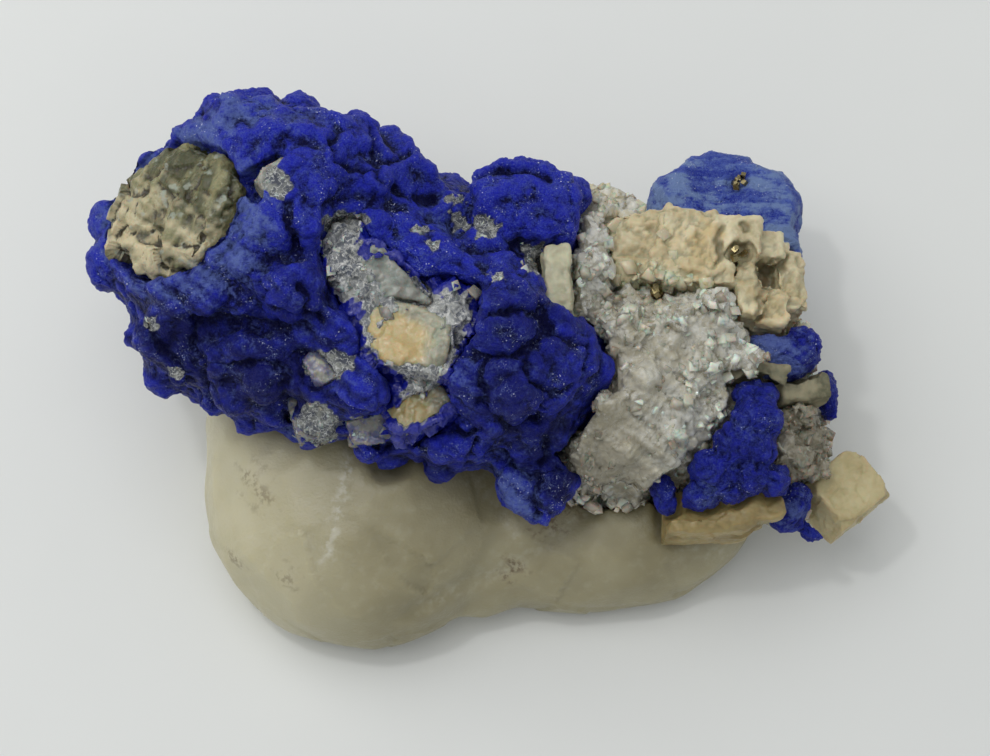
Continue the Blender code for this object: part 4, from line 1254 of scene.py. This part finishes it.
def cap_finish():
    look = Finish("olive rock", Roughness=0.5, IOR=1.55, Subsurface_Weight=0.2, Subsurface_Scale=0.001)
    fine = cloud(look.place, 0.5, 5.0)
    turned = add(look.tree, "ShaderNodeVectorRotate", {"Vector": look.place, "Angle": -FIBRE_BEARING},
                 rotation_type="Z_AXIS")
    streak = cloud(turned.vector("MULTIPLY", (0.28, 1.0, 0.5)), 1.6, 5.0, 0.6)
    tone = blend(ramp(streak, 0.42, 0.64), (0.060, 0.062, 0.022), (0.26, 0.245, 0.12))
    tone = blend(look.painted("tan"), tone, (0.56, 0.49, 0.31))
    tone = blend(ramp(cloud(look.place, 1.3, 2.0), 0.56, 0.66, 0.0, 0.7), tone, (0.34, 0.37, 0.31))
    # Painted shade: nearly black in the creases.
    tone = blend(ramp(look.painted("crest") + fine * 0.8, 0.4, 0.85), (0.040, 0.032, 0.016), tone)
    look.set(Base_Color=tone, Roughness=ramp(fine, 0.35, 0.65, 0.25, 0.6))
    look.bump(fine, depth=0.2, strength=0.8)
    return look.material


cap_rock_finish = cap_finish()
cap = fine_skin(solid_of("cap_rock", moved=SIGHT * CAP_SUNK), voxel=0.18, grow=0.62, rounds=3)
run_tree(cap, fibres, cap_rock_finish, across=3.2, along=9.0, bearing=FIBRE_BEARING, height=1.8, waver=1.2)
run_tree(cap, facets, cap_rock_finish, facet=3.6, step=0.18, tilt=0.45, small_facet=0.8, small_step=0.07)
note_crests(cap)
paint_patches(cap, "cap_rock", tan=TAN_SPOTS)
finished(cap, "cap_rock_face", "olive_rock", "cap_rock")

# %% [markdown]
# ## Flat-faced crystals
# Eleven single crystals are made in one loop, because they differ only in stone and in how they are
# bedded. A bevelled cube would do for some, but the frame's solids already have the right faces, so their
# edges are only worn. Those set in the blue or in the hollow are worn rounder and more uneven, some are
# nudged to where the eye wants them, and a few are grown until they fill their gap.

# %% Flat-faced crystals
FLAT_CRYSTALS = {
    "tan_band": ("olive_band", olive, "olive_rock"),
    "tan_ledge": ("tan_block", tan, "tan_crystal"),
    "tan_spur": ("waxy_spur", spur_finish, "tan_crystal"),
    "eye_crystal": ("eye_grain", sea_glass, "sugary_calcite"),
    "face_crystal": ("face_grain", smoky, "sugary_calcite"),
    "rim_crystal": ("rim_grain", smoky, "sugary_calcite"),
    "ledge_crystal": ("ledge_grain", smoky, "sugary_calcite"),
    "window_crystal": ("window_block", honey, "tan_crystal"),
    "pod_crystal": ("pod_grain", amber, "tan_crystal"),
    "prism_crystal": ("prism_block", straw, "tan_crystal"),
    "glass_crystal": ("glass_block", sea_glass, "sugary_calcite"),
}
WARM = {"window_crystal": ((386, 336, 2.6, 1.0), (404, 344, 2.2, 1.0), (415, 335, 1.6, 0.6)),
        "pod_crystal": ((410, 412, 2.6, 0.8),), "face_crystal": ((318, 365, 1.2, 0.6),)}
NUDGE = {"eye_crystal": (0.8, -0.2, 1.0), "ledge_crystal": (0, 0.2, 0), "rim_crystal": (0, 0.3, 0),
         "face_crystal": (0.3, 0.1, 0.1), "window_crystal": (0, 0, 0.2), "pod_crystal": (0, 0, 0.2)}
FILLING = {"face_crystal": 0.5, "rim_crystal": 0.4, "ledge_crystal": 0.4, "eye_crystal": 0.12}
for node, (name, finish, material_slot) in FLAT_CRYSTALS.items():
    bedded = not node.startswith("tan_")
    piece = solid_of(node, moved=NUDGE.get(node, (0, 0, 0)))
    piece = fine_skin(piece, voxel=0.16, grow=FILLING.get(node, 0.14), rounds=10 if bedded else 2)
    wear = 0.8 if bedded else 0.5
    run_tree(piece, fibres, finish, across=2.0, along=2.6, height=wear, waver=0.8 if bedded else 0.4)
    run_tree(piece, facets, finish, facet=2.4, step=0.05, tilt=0.15, small_facet=0.6, small_step=0.03)
    paint_patches(piece, node, softness=0.1, warm=WARM.get(node, ()))
    finished(piece, name, material_slot, node)

# %% [markdown]
# ## Pyrite
# Pyrite grows as brassy cubes that run through each other. Each cluster is nine cubes thrown round one
# spot by a seeded die, with flat faces and a metal finish whose gloss varies a little. The frame's solid
# gives only its place and reach.

# %% Pyrite
brassy = Finish("pyrite", Base_Color=(0.30, 0.25, 0.13, 1), Metallic=1.0, Roughness=0.3)
brassy.set(Roughness=ramp(cloud(brassy.place, 0.3), 0.3, 0.7, 0.15, 0.4))
CUBES, SCATTER, SMALL_CUBE, LARGE_CUBE = 9, 0.42, 0.2, 0.42      # the last three are shares of the reach
for number in (1, 2, 3):
    low, high = [Vector(corner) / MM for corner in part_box(f"pyrite_{number}")]
    middle, reach = (low + high) / 2, (high - low).length / 2
    dice = random.Random(number)
    cluster = bmesh.new()
    for _ in range(CUBES):
        spot = middle + Vector([dice.uniform(-SCATTER, SCATTER) * reach for _ in range(3)])
        angle = dice.uniform(0, 3)
        axis = Vector([dice.uniform(-1, 1) for _ in range(3)]).normalized()
        size = dice.uniform(SMALL_CUBE, LARGE_CUBE) * reach
        where = Matrix.Translation(spot) @ Matrix.Rotation(angle, 4, axis)
        bmesh.ops.create_cube(cluster, size=size, matrix=where)
    cubes = as_object(cluster, "cubes")
    cubes.data.materials.append(brassy.material)
    finished(cubes, f"pyrite_cluster_{number}", "pyrite", f"pyrite_{number}", smooth=False)

# %% [markdown]
# ## The table's finish
# Matt and nearly white, with a broad, faint cloudiness, so that the stone is the only thing to look at.

# %% Table finish
paper = Finish("pale table", Roughness=0.75)
paper.set(Base_Color=blend(cloud(paper.place, 30.0), (0.74, 0.75, 0.735), (0.78, 0.79, 0.775)))
table.data.materials.append(paper.material)
print("the table is", paper.material.name)
